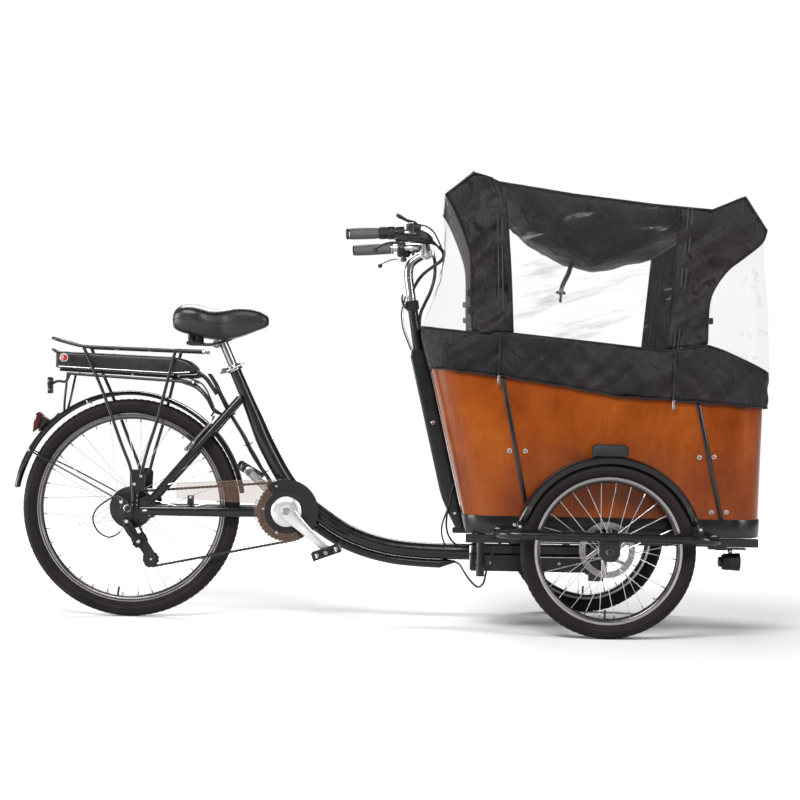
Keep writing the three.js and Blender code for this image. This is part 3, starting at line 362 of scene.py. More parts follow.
def rounded_rectangle(rear, front, half, corner, steps):
    """Points round a rectangle seen from above, in x and y, with round corners."""
    points = []
    for cx, cy, start in ((front - corner, half - corner, 0), (rear + corner, half - corner, 90),
                          (rear + corner, corner - half, 180), (front - corner, corner - half, 270)):
        for k in range(steps + 1):
            a = math.radians(start + 90 * k / steps)
            points.append((cx + corner * math.cos(a), cy + corner * math.sin(a)))
    return points


def tangents(path, closed=False):
    if closed:
        return [unit(np.roll(path, -1, 0)[i] - np.roll(path, 1, 0)[i]) for i in range(len(path))]
    return [unit(path[min(i + 1, len(path) - 1)] - path[max(i - 1, 0)]) for i in range(len(path))]


# ---------------------------------------------------------------- surfaces
def skin(rings, closed=False, wrap=True, caps=True):
    """Faces between neighbouring rings: closed joins last to first, wrap closes each ring."""
    n = len(rings[0])
    verts = [tuple(p) for ring in rings for p in ring]
    faces = []
    for i in range(len(rings) if closed else len(rings) - 1):
        j = (i + 1) % len(rings)
        for k in range(n if wrap else n - 1):
            m = (k + 1) % n
            faces.append((i * n + k, i * n + m, j * n + m, j * n + k))
    if caps and wrap and not closed:
        faces.append(tuple(range(n - 1, -1, -1)))
        faces.append(tuple((len(rings) - 1) * n + k for k in range(n)))
    return verts, faces


def offset_outline(outline, distance):
    """A closed outline moved inwards by distance, whichever way round it runs."""
    p = np.array(outline, float)
    area = sum(p[i][0] * p[(i + 1) % len(p)][1] - p[(i + 1) % len(p)][0] * p[i][1] for i in range(len(p)))
    sign = 1 if area > 0 else -1
    rows = []
    for i in range(len(p)):
        a, b = unit(p[i] - p[i - 1]), unit(p[(i + 1) % len(p)] - p[i])
        normal = unit(np.array([-(a + b)[1], (a + b)[0]])) * sign
        spread = max(0.5, float(np.dot(normal, np.array([-b[1], b[0]]) * sign)))
        rows.append(p[i] + normal * distance / spread)
    return rows


class Piece:
    """Surfaces of one visible piece, each with its own material."""

    def __init__(self, material=None):
        self.verts, self.faces, self.slots, self.materials = [], [], [], []
        self.material = material

    def put(self, surface, material=None):
        material = material or self.material
        if material not in self.materials:
            self.materials.append(material)
        base = len(self.verts)
        self.verts += surface[0]
        self.faces += [tuple(base + k for k in face) for face in surface[1]]
        self.slots += [self.materials.index(material)] * len(surface[1])
        return self

    def tube(self, path, radius, sides=14, material=None, closed=False, flat=1.0, up=None):
        """A round tube; a fourth number in the path is its own radius."""
        p = np.array(path, float)
        radii = p[:, 3] if p.shape[1] > 3 else np.full(len(p), radius)
        p = p[:, :3]
        dirs = tangents(p, closed)
        if up is None:
            up = [0, 0, 1] if abs(dirs[0][2]) < 0.9 else [0, 1, 0]
        side = unit(np.cross(dirs[0], up))
        rings = []
        for point, along, r in zip(p, dirs, radii):
            side = unit(side - along * np.dot(side, along))
            over = np.cross(along, side)
            rings.append([point + side * r * c + over * r * flat * s for c, s in circle(sides)])
        return self.put(skin(rings, closed), material)

    def loft(self, stations, material=None, sides=24, power=2.0):
        """Rounded-rectangle sections; stations are (x, y, z, half width, half height), the width along Y."""
        p = np.array(stations, float)
        dirs = tangents(p[:, :3])
        rings = []
        for row, along in zip(p, dirs):
            side = unit(np.array([0, 1.0, 0]) - along * along[1])
            over = np.cross(along, side)
            at, half_width, half_height = row[:3], side * row[3], over * row[4]
            rings.append([at + half_width * squarish(c, power) + half_height * squarish(s, power)
                          for c, s in circle(sides, 0.5)])
        return self.put(skin(rings), material)

    def rod(self, start, end, radius, sides=20, material=None, edge=0.6):
        """A round bar with eased edges."""
        a, b = np.array(start, float), np.array(end, float)
        along = unit(b - a)
        edge = min(edge, radius * 0.5, np.linalg.norm(b - a) * 0.4)
        side = unit(np.cross(along, [0, 0, 1] if abs(along[2]) < 0.9 else [0, 1, 0]))
        over = np.cross(along, side)
        thin, step = radius - edge, along * edge
        ends = ((a, thin), (a + step, radius), (b - step, radius), (b, thin))
        rings = [[at + (side * c + over * s) * r for c, s in circle(sides, 0.5)] for at, r in ends]
        return self.put(skin(rings), material)

    def pin(self, x, z, start, end, *size, **look):
        """A rod that lies across the trike, from start to end along Y."""
        return self.rod((x, start, z), (x, end, z), *size, **look)

    def lathe(self, centre, profile, segments, material):
        """A closed (radius, height) profile turned about the line along Y through centre."""
        cx, cy, cz = centre
        rings = [[(cx + r * c, cy + h, cz + r * s) for r, h in profile] for c, s in circle(segments)]
        return self.put(skin(rings, closed=True), material)

    def prism(self, outline, y0, y1, edge=0.8, material=None):
        """An outline in x and z between two values of y, with eased edges."""
        inner = offset_outline(outline, edge)
        rows = [(inner, y0), (outline, y0 + edge), (outline, y1 - edge), (inner, y1)]
        rings = [[(p[0], y, p[1]) for p in line] for line, y in rows]
        return self.put(skin(rings), material)

    def box(self, x, y, z, edge=1.0, material=None):
        c = min(edge, (x[1] - x[0]) * 0.3, (z[1] - z[0]) * 0.3, (y[1] - y[0]) * 0.3)
        outline = [(x[0] + c, z[0]), (x[1] - c, z[0]), (x[1], z[0] + c), (x[1], z[1] - c), (x[1] - c, z[1]),
                   (x[0] + c, z[1]), (x[0], z[1] - c), (x[0], z[0] + c)]
        return self.prism(outline, y[0], y[1], c, material)

    def bolt(self, at, axis, radius=5.0, height=3.5, material=None):
        """A domed socket-head bolt standing on a surface."""
        at, axis = np.array(at, float), unit(np.array(axis, float))
        side = unit(np.cross(axis, [0, 0, 1] if abs(axis[2]) < 0.9 else [1, 0, 0]))
        over = np.cross(axis, side)
        profile = [(0.01, 0.35), (0.42, 0.35), (0.46, 0.95), (0.75, 1.0), (0.97, 0.6), (1.0, 0.0)]
        rings = [[at + axis * h * height + (side * c + over * s) * r * radius for c, s in circle(14)]
                 for r, h in profile]
        return self.put(skin(rings, caps=False), material or SILVER)

    def turned(self, matrix):
        """Moves all that was put in so far by a 4 by 4 matrix."""
        self.verts = [tuple(matrix @ Vector(v)) for v in self.verts]

    def make(self, name, body, slot, *replaced, sharp=38, subdivide=0, thickness=0.0):
        mesh = bpy.data.meshes.new(name)
        mesh.from_pydata([place(v) for v in self.verts], [], self.faces)
        for material in self.materials:
            mesh.materials.append(material)
        mesh.polygons.foreach_set("material_index", self.slots)
        work = bmesh.new()
        work.from_mesh(mesh)
        bmesh.ops.remove_doubles(work, verts=work.verts, dist=2e-6)
        bmesh.ops.dissolve_degenerate(work, edges=work.edges, dist=1e-6)
        bmesh.ops.recalc_face_normals(work, faces=work.faces)
        work.to_mesh(mesh)
        work.free()
        mesh.polygons.foreach_set("use_smooth", [True] * len(mesh.polygons))
        mesh.set_sharp_from_angle(angle=math.radians(sharp))
        made = bpy.data.objects.new(name, mesh)
        bpy.context.scene.collection.objects.link(made)
        if thickness:
            shell = made.modifiers.new("thickness", "SOLIDIFY")
            shell.thickness, shell.offset = thickness * 0.001, 0
        if subdivide:
            smooth = made.modifiers.new("smooth", "SUBSURF")
            smooth.levels = smooth.render_levels = subdivide
        if body:
            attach(made, body)
        if replaced:
            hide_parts(*replaced)
        return made


def sides():
    """The sign of y on each side, and its name."""
    return ((-1, "right"), (1, "left"))


def span(a, b, side):
    """Two distances from the middle plane, on one side of it, in rising order."""
    return tuple(sorted((a * side, b * side)))


# ---------------------------------------------------------------- rear frame
SEAT_LEAN = math.radians(24)
SEAT_TOP = np.array([302.0, 0.0, 764.0])
SEAT_DOWN = np.array([math.sin(SEAT_LEAN), 0.0, -math.cos(SEAT_LEAN)])
MAIN_TUBE = [  # x, y, z, half width, half height
    (302, 0, 764, 17.5, 17.5), (349, 0, 659, 19, 19), (373, 0, 604, 22.5, 22), (398, 0, 545, 25.5, 24.5),
    (424, 0, 495, 25.5, 24.5), (451, 0, 447, 25.5, 24.5), (478, 0, 407, 25.5, 24.5),
    (515, 0, 364, 25.5, 24.5), (571, 0, 321, 25.5, 24.5), (637, 0, 277, 25.5, 24.5),
    (700, 0, 249, 25.5, 24.5), (762, 0, 231, 25.5, 24.5), (824, 0, 220.5, 25.5, 24.5),
    (918, 0, 214.5, 25.5, 24.5), (1029, 0, 213, 25.5, 24.5),
]


def along_seat(distance):
    """A point on the seat tube's axis, downwards from its top."""
    return SEAT_TOP + SEAT_DOWN * distance


def make_main_tube():
    piece = Piece(BLACK_PAINT)
    piece.loft(curve(MAIN_TUBE, 5), sides=32)
    piece.pin(BB_X, BB_Z, -34, 34, 21, 32, edge=1.5)
    piece.rod((BB_X + 4, 0, BB_Z + 8), (508, 0, 366), 18, 24)
    for side in (-1, 1):
        piece.pin(BB_X, BB_Z, 34 * side, 37.5 * side, 20, 28, SILVER)
    piece.rod(along_seat(-2), along_seat(14), 18.6, 28, edge=1.2)
    for distance in (190, 250):  # bottle and cable bosses on the front of the seat tube
        centre = along_seat(distance) + np.array([22, 0, 10])
        piece.bolt(centre, (0.91, 0, 0.41), 4.2, 3)
    piece.make("main_tube_shell", "rear_frame", "black_paint", "main_tube")


PARTING = 40  # the point of the main tube's curve where the lower tube leaves it


def make_lower_tube():
    stations = []
    path = curve(MAIN_TUBE, 5)
    for i in range(PARTING, len(path) - 1):
        along = unit(path[i + 1][:3] - path[i - 1][:3])
        under = np.array([along[2], 0, -along[0]])
        drop = 38.2 * min(1.0, (path[i][0] - 520) / 60)
        if path[i][0] > 945:
            break
        stations.append((*(path[i][:3] + under * drop), 14, 13.2))
    stations += [(958, 0, 179.5, 12, 10), (974, 0, 181.5, 9.5, 6.5), (988, 0, 183, 7, 3.2)]
    piece = Piece(BLACK_PAINT).loft(stations, sides=22)
    piece.make("lower_tube_shell", "rear_frame", "black_paint", "lower_tube")


def make_rear_triangle():
    piece = Piece(BLACK_PAINT)
    for side in (-1, 1):
        dropout = [(-20, 316), (-24, 330), (-20, 345), (20, 356), (60, 372), (82, 356), (80, 305),
                   (48, 298), (12, 304)]
        piece.prism(dropout, *span(67.8, 73.8, side), 1.2)
        piece.loft(curve([(36, 76 * side, 325, 7, 13), (120, 70 * side, 325, 9, 15),
                          (280, 54 * side, 325, 10, 16), (350, 37 * side, 325, 9, 16),
                          (400, 29.5 * side, 325, 9, 16), (457, 24 * side, 327, 9, 16)], 5), sides=22,
                   power=2.5)
        piece.loft(curve([(60, 74 * side, 350, 7.5, 8.5), (110, 69 * side, 409, 10, 10),
                          (190, 62 * side, 502, 11.5, 11.5), (270, 40 * side, 599, 11.8, 11.8),
                          (326, 23.5 * side, 666, 12, 12)], 6), sides=22)
        piece.rod((166, 46 * side, 510), (174, 30 * side, 516), 5.5, 16, STEEL)
        piece.bolt((70, 74 * side, 362), (0, side, 0), 5, 4)
        piece.bolt((64, 74 * side, 312), (0, side, 0), 4, 3)
    piece.pin(262, 588, -42, 42, 8, 20)
    piece.pin(150, 325, -62, -66, 3, 10, SILVER)
    piece.make("rear_triangle_shell", "rear_frame", "black_paint", "rear_triangle")


def make_steering_head():
    piece = Piece(BLACK_PAINT)
    x_end = FRONT_X - 20
    piece.box((1030.4, x_end), (-32, 32), (158, 210), 3.5)
    piece.box((1034, x_end), (-29, 29), (209, 238), 3.0)
    piece.rod((FRONT_X, 0, 151), (FRONT_X, 0, 240), 34, 40, edge=2)
    for x in (1052, 1090, 1300):
        for side in (-1, 1):
            piece.bolt((x, 32 * side, 184), (0, side, 0), 5.5, 4)
    piece.make("steering_head_shell", "rear_frame", "black_paint", "steering_head")


def fender_surface(piece, cx, cz, radius, half, start, end, y, steps, material, flank=11):
    """A mudguard strip: crowned across, with flanks that reach down by flank."""
    across = [(-1, flank), (-1.0, 8.6), (-0.86, 4.6), (-0.62, 1.7), (-0.3, 0.3), (0, 0), (0.3, 0.3),
              (0.62, 1.7), (0.86, 4.6), (1.0, 8.6), (1, flank)]
    under = [(u * 0.93, v + 2.4) for u, v in reversed(across)]
    rings = []
    for i in range(steps + 1):
        angle = start + (end - start) * i / steps
        taper = min(1.0, 0.55 + 6.0 * min(i, steps - i) / steps)
        ring = []
        for u, v in across + under:
            x, z = polar(cx, cz, radius - v, angle)
            ring.append((x, y + u * half * taper, z))
        rings.append(ring)
    piece.put(skin(rings), material)


REAR_FENDER_AT = (-8, 331)


def make_rear_fender():
    piece = Piece(GLOSS_BLACK)
    fender_surface(piece, *REAR_FENDER_AT, 354, 31, 171, 8, 0, 110, GLOSS_BLACK)
    for side in (-1, 1):
        x, z = polar(*REAR_FENDER_AT, 346, 151)
        piece.tube(bent([(x, 28 * side, z), (-200, 66 * side, 446), (-19, 83 * side, 352)], 40), 2.5, 10)
        x2, z2 = polar(*REAR_FENDER_AT, 346, 112)
        piece.rod((x2, 28 * side, z2), (x2 + 4, 34 * side, z2 - 8), 3, 10, SILVER)
        piece.pin(-19, 350, 74.6 * side, 87 * side, 5.5, 14, SILVER)
        piece.bolt((x, 30 * side, z), (0, side, 0), 4.5, 3)
    piece.make("rear_fender_shell", "rear_frame", "black_paint", "rear_fender")


RACK_Y = 68


def make_rack():
    piece = Piece(BLACK_PAINT)
    deck = [(216, -RACK_Y, 806), (-150, -RACK_Y, 815), (-238, -RACK_Y, 838), (-244, 0, 840),
            (-238, RACK_Y, 838), (-150, RACK_Y, 815), (216, RACK_Y, 806)]
    piece.tube(bent(deck, 28), 5, 14)
    for x, z in ((212, 806), (134, 808), (40, 810.5), (-60, 813), (-144, 815)):
        piece.pin(x, z, -RACK_Y, RACK_Y, 4, 14)
    for y in (-26, 26):
        piece.tube(bent([(134, y, 808), (0, y, 811.5), (-144, y, 815)], 10), 3.2, 10)
    for side in (-1, 1):
        y = RACK_Y * side
        piece.rod((215, y, 806), (222, y, 805.8), 6.2, 16, SILVER)
        piece.rod((-192, y, 733), (186, y, 713), 4, 14)
        piece.rod((186, y, 713), (192, y, 712.7), 5, 14, SILVER)
        piece.tube(bent([(-144, y, 815), (-82, y + 6 * side, 682), (-21, y + 18 * side, 522),
                         (12, y + 20 * side, 446), (18, y + 20 * side, 352)], 34), 5, 14)
        piece.tube(bent([(134, y, 808), (111, y + 2 * side, 713), (83, y + 10 * side, 593),
                         (55, y + 18 * side, 500), (38, y + 20 * side, 428)], 34), 5, 14)
        piece.tube(bent([(-190, y, 733), (-202, 45 * side, 650), (-206, 27 * side, 622)], 20), 3.6, 12)
        plate = span(84, 90, side)
        piece.prism([(6, 384), (50, 384), (52, 436), (42, 448), (12, 448), (6, 436)], *plate, 1.2)
        piece.bolt((20, 90 * side, 404), (0, side, 0), 5, 4)
        piece.bolt((40, 90 * side, 428), (0, side, 0), 5, 4)
        for x in (10, 24):
            piece.prism([(x, 324), (x + 8, 324), (x + 10, 388), (x + 2, 388)], *plate, 1.0)
            for z in (342, 356, 370):
                piece.bolt((x + 5, 90 * side, z), (0, side, 0), 2.4, 1.2, STEEL)
    piece.pin(190, 713, -RACK_Y, RACK_Y, 4, 14)
    piece.pin(-190, 733, -RACK_Y, RACK_Y, 4, 14)
    piece.make("luggage_rack_wires", "rear_frame", "black_paint", "luggage_rack")


def battery_side():
    return [(-231, 752), (-224, 749.6), (60, 737.6), (126, 735.2), (182, 738.4), (192, 742), (196, 749),
            (194, 757), (187, 765), (172, 776), (150, 784), (122, 788.6), (-216, 800), (-226, 798),
            (-231, 792)]


LOCK_X, LOCK_Z = -205, 781


def make_battery():
    rings = []
    for y, inset in ((-54, 9), (-53, 5), (-50, 2), (-44, 0.4), (-40, 0), (40, 0), (44, 0.4), (50, 2),
                     (53, 5), (54, 9)):
        rings.append([(p[0], y, p[1]) for p in offset_outline(battery_side(), max(inset, 0.01))])
    piece = Piece(PLASTIC).put(skin(rings))
    for side in (-1, 1):
        strip = [(-222, 0, 754.6), (60, 0, 742.4), (126, 0, 740.4), (176, 0, 743.4)]
        piece.tube([(x, 52.6 * side, z) for x, _, z in curve(strip, 8)], 1.7, 8, SILVER)
        piece.tube([(x, 52.8 * side, z + 17) for x, _, z in curve(strip, 8)], 0.9, 6, MATT_BLACK)
    for x in (-206, -60, 90):
        piece.bolt((x, -12, 799.3 - (x + 206) * 0.034), (0, 0, 1), 3.6, 1.5, DARK_STEEL)
    piece.lathe((LOCK_X, -54, LOCK_Z), [(9.5, 0), (13, -0.2), (13.5, 1.5), (9.5, 1.5)], 32, SILVER)
    piece.box((-233.5, -229), (-30, 30), (758, 788), 1.5, MATT_BLACK)
    piece.tube(bent([(-231, -20, 796), (-247, -20, 806), (-247, 20, 806), (-231, 20, 796)], 9), 3.4, 10,
               PLASTIC)
    piece.make("battery_case", "battery", "black_plastic", "battery", sharp=50)
    lock = Piece(RED)
    lock.pin(LOCK_X, LOCK_Z, -60, -48, 8.5, 28, edge=1.6)
    lock.box((LOCK_X - 1.6, LOCK_X + 1.6), (-67, -60), (LOCK_Z - 6, LOCK_Z + 6), 1.1, STEEL)
    lock.make("battery_lock_barrel", "battery_lock", "red_plastic", "battery_lock")
    rail = Piece(PLASTIC)
    rail.prism([(-222, 741), (-222, 748.8), (130, 733.6), (190, 736), (205, 741), (206, 729), (196, 725),
                (130, 724)], -30, 30, 1.2)
    for x in (-160, 0, 140):
        rail.bolt((x, -30, 737 - x * 0.022 - 4), (0, -1, 0), 3.5, 2)
    rail.make("battery_rail_body", "rear_frame", "black_plastic", "battery_rail")


def make_tail_light():
    piece = Piece(RED_LENS)
    lens = [(-302, 552), (-300, 585), (-294, 610), (-286, 615), (-272, 604), (-284, 566)]
    piece.prism(lens, -23, 23, 4)
    piece.prism([(-286, 556), (-276, 604), (-251, 590), (-262, 579), (-278, 560)], -21, 21, 3, PLASTIC)
    piece.tube(bent([(-252, 0, 588), (-240, 0, 596), (-226, 0, 612)], 8), 4, 12, PLASTIC)
    piece.box((-259, -250), (-26, 26), (672, 722), 3, MATT_BLACK)
    piece.box((-262, -258.6), (-25, 25), (674, 696), 1, WHITE_LENS)
    piece.box((-262, -258.6), (-25, 25), (699, 720), 1, SILVER)
    for z in (684, 710):
        piece.bolt((-254, -26, z), (0, -1, 0), 4, 2, BRIGHT)
    piece.tube(bent([(-252, 0, 700), (-232, 0, 712), (-208, 0, 706), (-196, 0, 731)], 12), 4, 12, BLACK_PAINT)
    piece.make("tail_light_unit", "rear_frame", "red_plastic", "tail_light")


SEAT_CLAMP = (277, 750)


def make_saddle_and_post():
    clamp = Piece(BRIGHT)
    rings = []
    for radius, distance in ((18.4, -2), (22.5, -3), (23.8, -1), (23.8, 13), (22.5, 15.5), (18.4, 15)):
        centre = along_seat(distance)
        over = np.cross(SEAT_DOWN, [0, 1, 0])
        rings.append([centre + (np.array([0, 1.0, 0]) * c + over * s) * radius for c, s in circle(40)])
    clamp.put(skin(rings, closed=True))
    clamp.pin(*SEAT_CLAMP, -7, 7, 8, 24, edge=1.5)
    clamp.make("seat_clamp_ring", "rear_frame", "silver_metal", "seat_clamp")
    lever = Piece(BRIGHT)
    blade = curve([(265, 0, 742, 3.5), (274, 0, 744, 5.5), (296, 0, 753, 5), (320, 0, 764, 5.6),
                   (336, 0, 773, 4.4), (339, 0, 775, 1.5)], 6)
    lever.tube([(x, -30.5, z, r) for x, _, z, r in blade], 5, 14, flat=0.62)
    lever.pin(*SEAT_CLAMP, -39, -8, 5.2, 20)
    lever.pin(*SEAT_CLAMP, -40.5, -36, 7.5, 6)
    lever.make("seat_clamp_handle", "seat_clamp_lever", "silver_metal", "seat_clamp_lever")

    top = along_seat(-86)
    post = Piece(BRIGHT)
    post.rod(top, along_seat(105), 13.6, 40, edge=1.0)
    post.pin(top[0] - 16, top[2] - 12, -19, 19, 12, 32, STEEL, edge=1.5)
    post.pin(top[0] - 16, top[2] - 12, -23, 23, 6.5, 6, SILVER)
    for side in (-1, 1):
        post.tube(curve([(170, 52 * side, 837), (205, 42 * side, 829), (250, 22 * side, 831),
                         (290, 19 * side, 846), (325, 17 * side, 864), (352, 12 * side, 873)], 6), 3.5, 12,
                  DARK_STEEL)
        for x, low, high in ((176, 840, 862), (198, 836, 860)):
            post.tube([(x, 40 * side, low), (x, 40 * side, high)], 8.5, 20, MATT_BLACK)
    post.box((164, 208), (-57, 57), (826, 837), 2.5, MATT_BLACK)
    post.box((168, 206), (-50, 50), (858, 864), 1.5, MATT_BLACK)
    post.make("seat_post_tube", "seat", "chrome", "seat_post")


SADDLE = [  # x, half width, crown, edge of the top, lower edge
    (122, 58, 908, 900, 884), (129, 90, 932, 912, 872), (150, 107, 947, 922, 862), (180, 110, 951, 924, 855),
    (212, 104, 945, 919, 848), (245, 82, 937, 912, 843), (278, 56, 938, 913, 843), (310, 42, 943, 918, 850),
    (345, 34, 942, 919, 862), (375, 29, 936, 914, 874), (399, 22, 924, 907, 884), (408, 11, 910, 902, 892),
]


def make_saddle():
    across = [(0, 1.0), (0.32, 0.97), (0.6, 0.86), (0.82, 0.62), (0.955, 0.28), (1.0, -0.08), (0.97, -0.45),
              (0.9, -0.8), (0.78, -1.0), (0.4, -1.0)]
    rings = []
    for x, half, crown, edge, low in curve(SADDLE, 4):
        def height(v):
            return edge + (crown - edge) * v if v > 0 else edge + (edge - low) * v
        groove = 3.2 if 150 < x < 300 else 0.0
        right = [(x, -half * u, height(v) - (groove * math.exp(-(u / 0.16) ** 2) if v > 0 else 0))
                 for u, v in across]
        left = [(p[0], -p[1], p[2]) for p in reversed(right[1:])]
        rings.append(right + [(x, 0, low + 2)] + left)
    piece = Piece(LEATHER).put(skin(rings))
    edge_line = curve([(x, -half, edge - (edge - low) * 0.3) for x, half, _, edge, low in SADDLE[1:-1]], 6)
    for side in (1, -1):
        piece.tube([(p[0], p[1] * side, p[2]) for p in edge_line], 1.3, 8, LEATHER)
    piece.tube(curve([(318, -20, 872), (322, -12, 876), (322, 12, 876), (318, 20, 872)], 4), 2.5, 8,
               MATT_BLACK)
    made = piece.make("saddle_cover", "seat", "leatherette", "saddle", sharp=180, subdivide=1)


def make_rear_cables():
    piece = Piece(CABLE)
    main = [(232, 0, 738), (250, 0, 706), (266, 0, 680), (290, 0, 634), (318, 0, 582), (342, 0, 543),
            (368, 0, 500), (392, 0, 460), (414, 0, 424), (426, 0, 398)]
    for dx, y, radius in ((0, 0, 5.0), (-5, 7, 2.6), (-6, -6, 2.6), (2, -9, 2.3)):
        wander = [(x + dx + 3 * math.sin(i * 1.7 + y), y + 2 * math.sin(i * 2.1), z - dx * 0.4)
                  for i, (x, _, z) in enumerate(main)]
        piece.tube(curve(wander, 7), radius, 12)
    for x, z in ((300, 616), (352, 528), (402, 444)):
        around = np.linspace(0, 6.28, 20)[:-1]
        tie = [(x + 12 * math.cos(a), 13 * math.sin(a), z + 5 * math.cos(a)) for a in around]
        piece.tube(tie, 1.5, 6, MATT_BLACK, closed=True)
    piece.tube(curve([(197, -10, 744), (212, -12, 733), (224, -8, 722), (236, -2, 704), (254, 0, 678)], 7),
               6.2, 14)
    for y, reach in ((-30, 0), (-38, 9), (28, 5)):
        piece.tube(curve([(120, y, 722), (160, y, 718 - reach), (196, y, 704 - reach),
                          (226, y * 0.7, 672 - reach), (246, y * 0.4, 636 - reach), (274, y * 0.2, 616),
                          (294, 0, 606)], 7), 3.2, 10)
    piece.tube(curve([(150, -34, 731), (182, -36, 722), (206, -32, 712), (222, -22, 694), (236, -16, 664),
                      (248, -20, 632), (242, -36, 612)], 7), 2.5, 10)
    piece.make("rear_cable_bundle", "rear_frame", "black_plastic", "rear_cables")


for make in (make_main_tube, make_lower_tube, make_rear_triangle, make_steering_head, make_rear_fender,
             make_rack, make_battery, make_tail_light, make_saddle_and_post, make_saddle, make_rear_cables):
    make()


# ---------------------------------------------------------------- wheels
def tread(piece, centre, radius, rim, half, segments):
    """A tyre with rows of small tread blocks and a ribbed shoulder."""
    inner = rim + 0.6
    profile = [(inner, -half * 0.5), (inner + 4, -half * 0.66), (inner + 12, -half * 0.96),
               (radius - 20, -half), (radius - 13, -half * 0.97), (radius - 8, -half * 0.86),
               (radius - 4.4, -half * 0.68), (radius - 2, -half * 0.46), (radius - 0.7, -half * 0.22),
               (radius, 0)]
    profile += [(r, -y) for r, y in reversed(profile[:-1])]
    rings = []
    for k, (c, s) in enumerate(circle(segments)):
        ring = []
        for j, (r, y) in enumerate(profile):
            crown = radius - 9 < r
            r -= 1.7 if crown and (k + 2 * j) % 4 < 1 else 0
            r -= 0.8 if crown and j in (8, 10) else 0
            ring.append((centre[0] + r * c, centre[1] + y, centre[2] + r * s))
        rings.append(ring)
    piece.put(skin(rings, closed=True), TYRE)
    for side in (-1, 1):
        for r, bulge in ((rim + 9, 0.9), (radius - 21, 1.02)):
            line = [(centre[0] + r * c, centre[1] + half * bulge * side, centre[2] + r * s)
                    for c, s in circle(96)]
            piece.tube(line, 0.9, 6, TYRE, closed=True)


def rim_profile(rim):
    return [(rim, -12.6), (rim - 2.5, -13), (rim - 9, -12.6), (rim - 12.5, -10.5), (rim - 16.5, -4.5),
            (rim - 17.2, 0), (rim - 16.5, 4.5), (rim - 12.5, 10.5), (rim - 9, 12.6), (rim - 2.5, 13),
            (rim, 12.6), (rim - 1.5, 10.5), (rim - 5, 9), (rim - 6, 0), (rim - 5, -9), (rim - 1.5, -10.5)]


def bright_edges(piece, centre, rim):
    lines = ((rim - 2.6, rim - 0.4), (rim - 9.6, rim - 7.4)) if rim > 250 else ((rim - 7.4, rim - 0.6),)
    for side in (-1, 1):
        for low, high in lines:
            band = [(low, 12.6 * side), (low, 13.35 * side), (high, 13.35 * side), (high, 12.6 * side)]
            piece.lathe(centre, band, 144, BRIGHT)


def lacing(piece, centre, rim, count, flange, flange_y, cross):
    """Tangential spokes with nipples; neighbours at one flange cross."""
    step = 360 / count
    for i in range(count):
        side = i % 2
        lean = cross if (i // 2) % 2 else -cross
        angle = step * (i + 0.5)
        hub_x, hub_z = polar(centre[0], centre[2], flange, angle + lean)
        rim_x, rim_z = polar(centre[0], centre[2], rim - 15.5, angle)
        y_hub, y_rim = centre[1] + flange_y[side], centre[1] + (3 if side else -3)
        piece.tube([(hub_x, y_hub, hub_z), (rim_x, y_rim, rim_z)], 0.95, 7, SILVER)
        share = 11 / math.dist((hub_x, hub_z), (rim_x, rim_z))
        start = [rim_x + (hub_x - rim_x) * share, y_rim + (y_hub - y_rim) * share,
                 rim_z + (hub_z - rim_z) * share]
        piece.rod(start, (rim_x, y_rim, rim_z), 1.9, 8, BRIGHT, edge=0.3)
        piece.pin(hub_x, hub_z, y_hub - 2, y_hub + 2, 2.0, 8, SILVER, edge=0.3)


def valve(piece, centre, rim, angle):
    foot = polar(centre[0], centre[2], rim - 14, angle)
    tip = polar(centre[0], centre[2], rim - 42, angle)
    piece.rod((foot[0], centre[1], foot[1]), (tip[0], centre[1], tip[1]), 3.0, 12, MATT_BLACK)


def make_rear_wheel():
    centre = (0, 0, REAR_R)
    tyre = Piece(TYRE)
    tread(tyre, centre, REAR_R, REAR_RIM, 24, 420)
    tyre.make("rear_tyre_tread", "rear_wheel", "tyre_rubber", "rear_tyre")
    wheel = Piece(SILVER)
    wheel.lathe(centre, rim_profile(REAR_RIM), 144, RIM)
    bright_edges(wheel, centre, REAR_RIM)
    motor = [(15, -29), (33, -29), (36, -27), (56, -25), (63, -23.5), (64, -21), (64, -17.5), (60, -16.5),
             (60, 16.5), (64, 17.5), (64, 22), (62.5, 24), (56, 26), (46, 31), (43, 33), (15, 33)]
    wheel.lathe(centre, motor, 72, PLASTIC)
    for k in range(8):
        x, z = polar(0, REAR_R, 50, 45 * k + 10)
        wheel.bolt((x, 28.2, z), (0, 1, 0), 3.2, 2.4)
        wheel.bolt((x, -25.8, z), (0, -1, 0), 3.2, 2.4)
    lacing(wheel, centre, REAR_RIM, 36, 61.5, (-20, 20), 26)
    valve(wheel, centre, REAR_RIM, 262)
    for angle in (230, 42):
        low, high = polar(0, REAR_R, 205, angle), polar(0, REAR_R, 222, angle)
        wheel.tube([(low[0], -9, low[1]), (high[0], -7.5, high[1])], 2.6, 8, WHITE_LENS)
    wheel.make("rear_wheel_laced", "rear_wheel", "silver_metal", "rear_wheel")
    axle = Piece(STEEL)
    axle.pin(0, REAR_R, -91.5, 91.5, 6, 20)
    for side in (-1, 1):
        axle.pin(0, REAR_R, 74.3 * side, 76.5 * side, 14, 28, SILVER)
        axle.pin(0, REAR_R, 76.5 * side, 83.5 * side, 11.6, 6, SILVER, edge=1)
        axle.pin(0, REAR_R, 83.5 * side, 91.8 * side, 8.5, 18, MATT_BLACK, edge=2)
    axle.make("rear_axle_and_nuts", "rear_frame", "steel", "rear_axle")


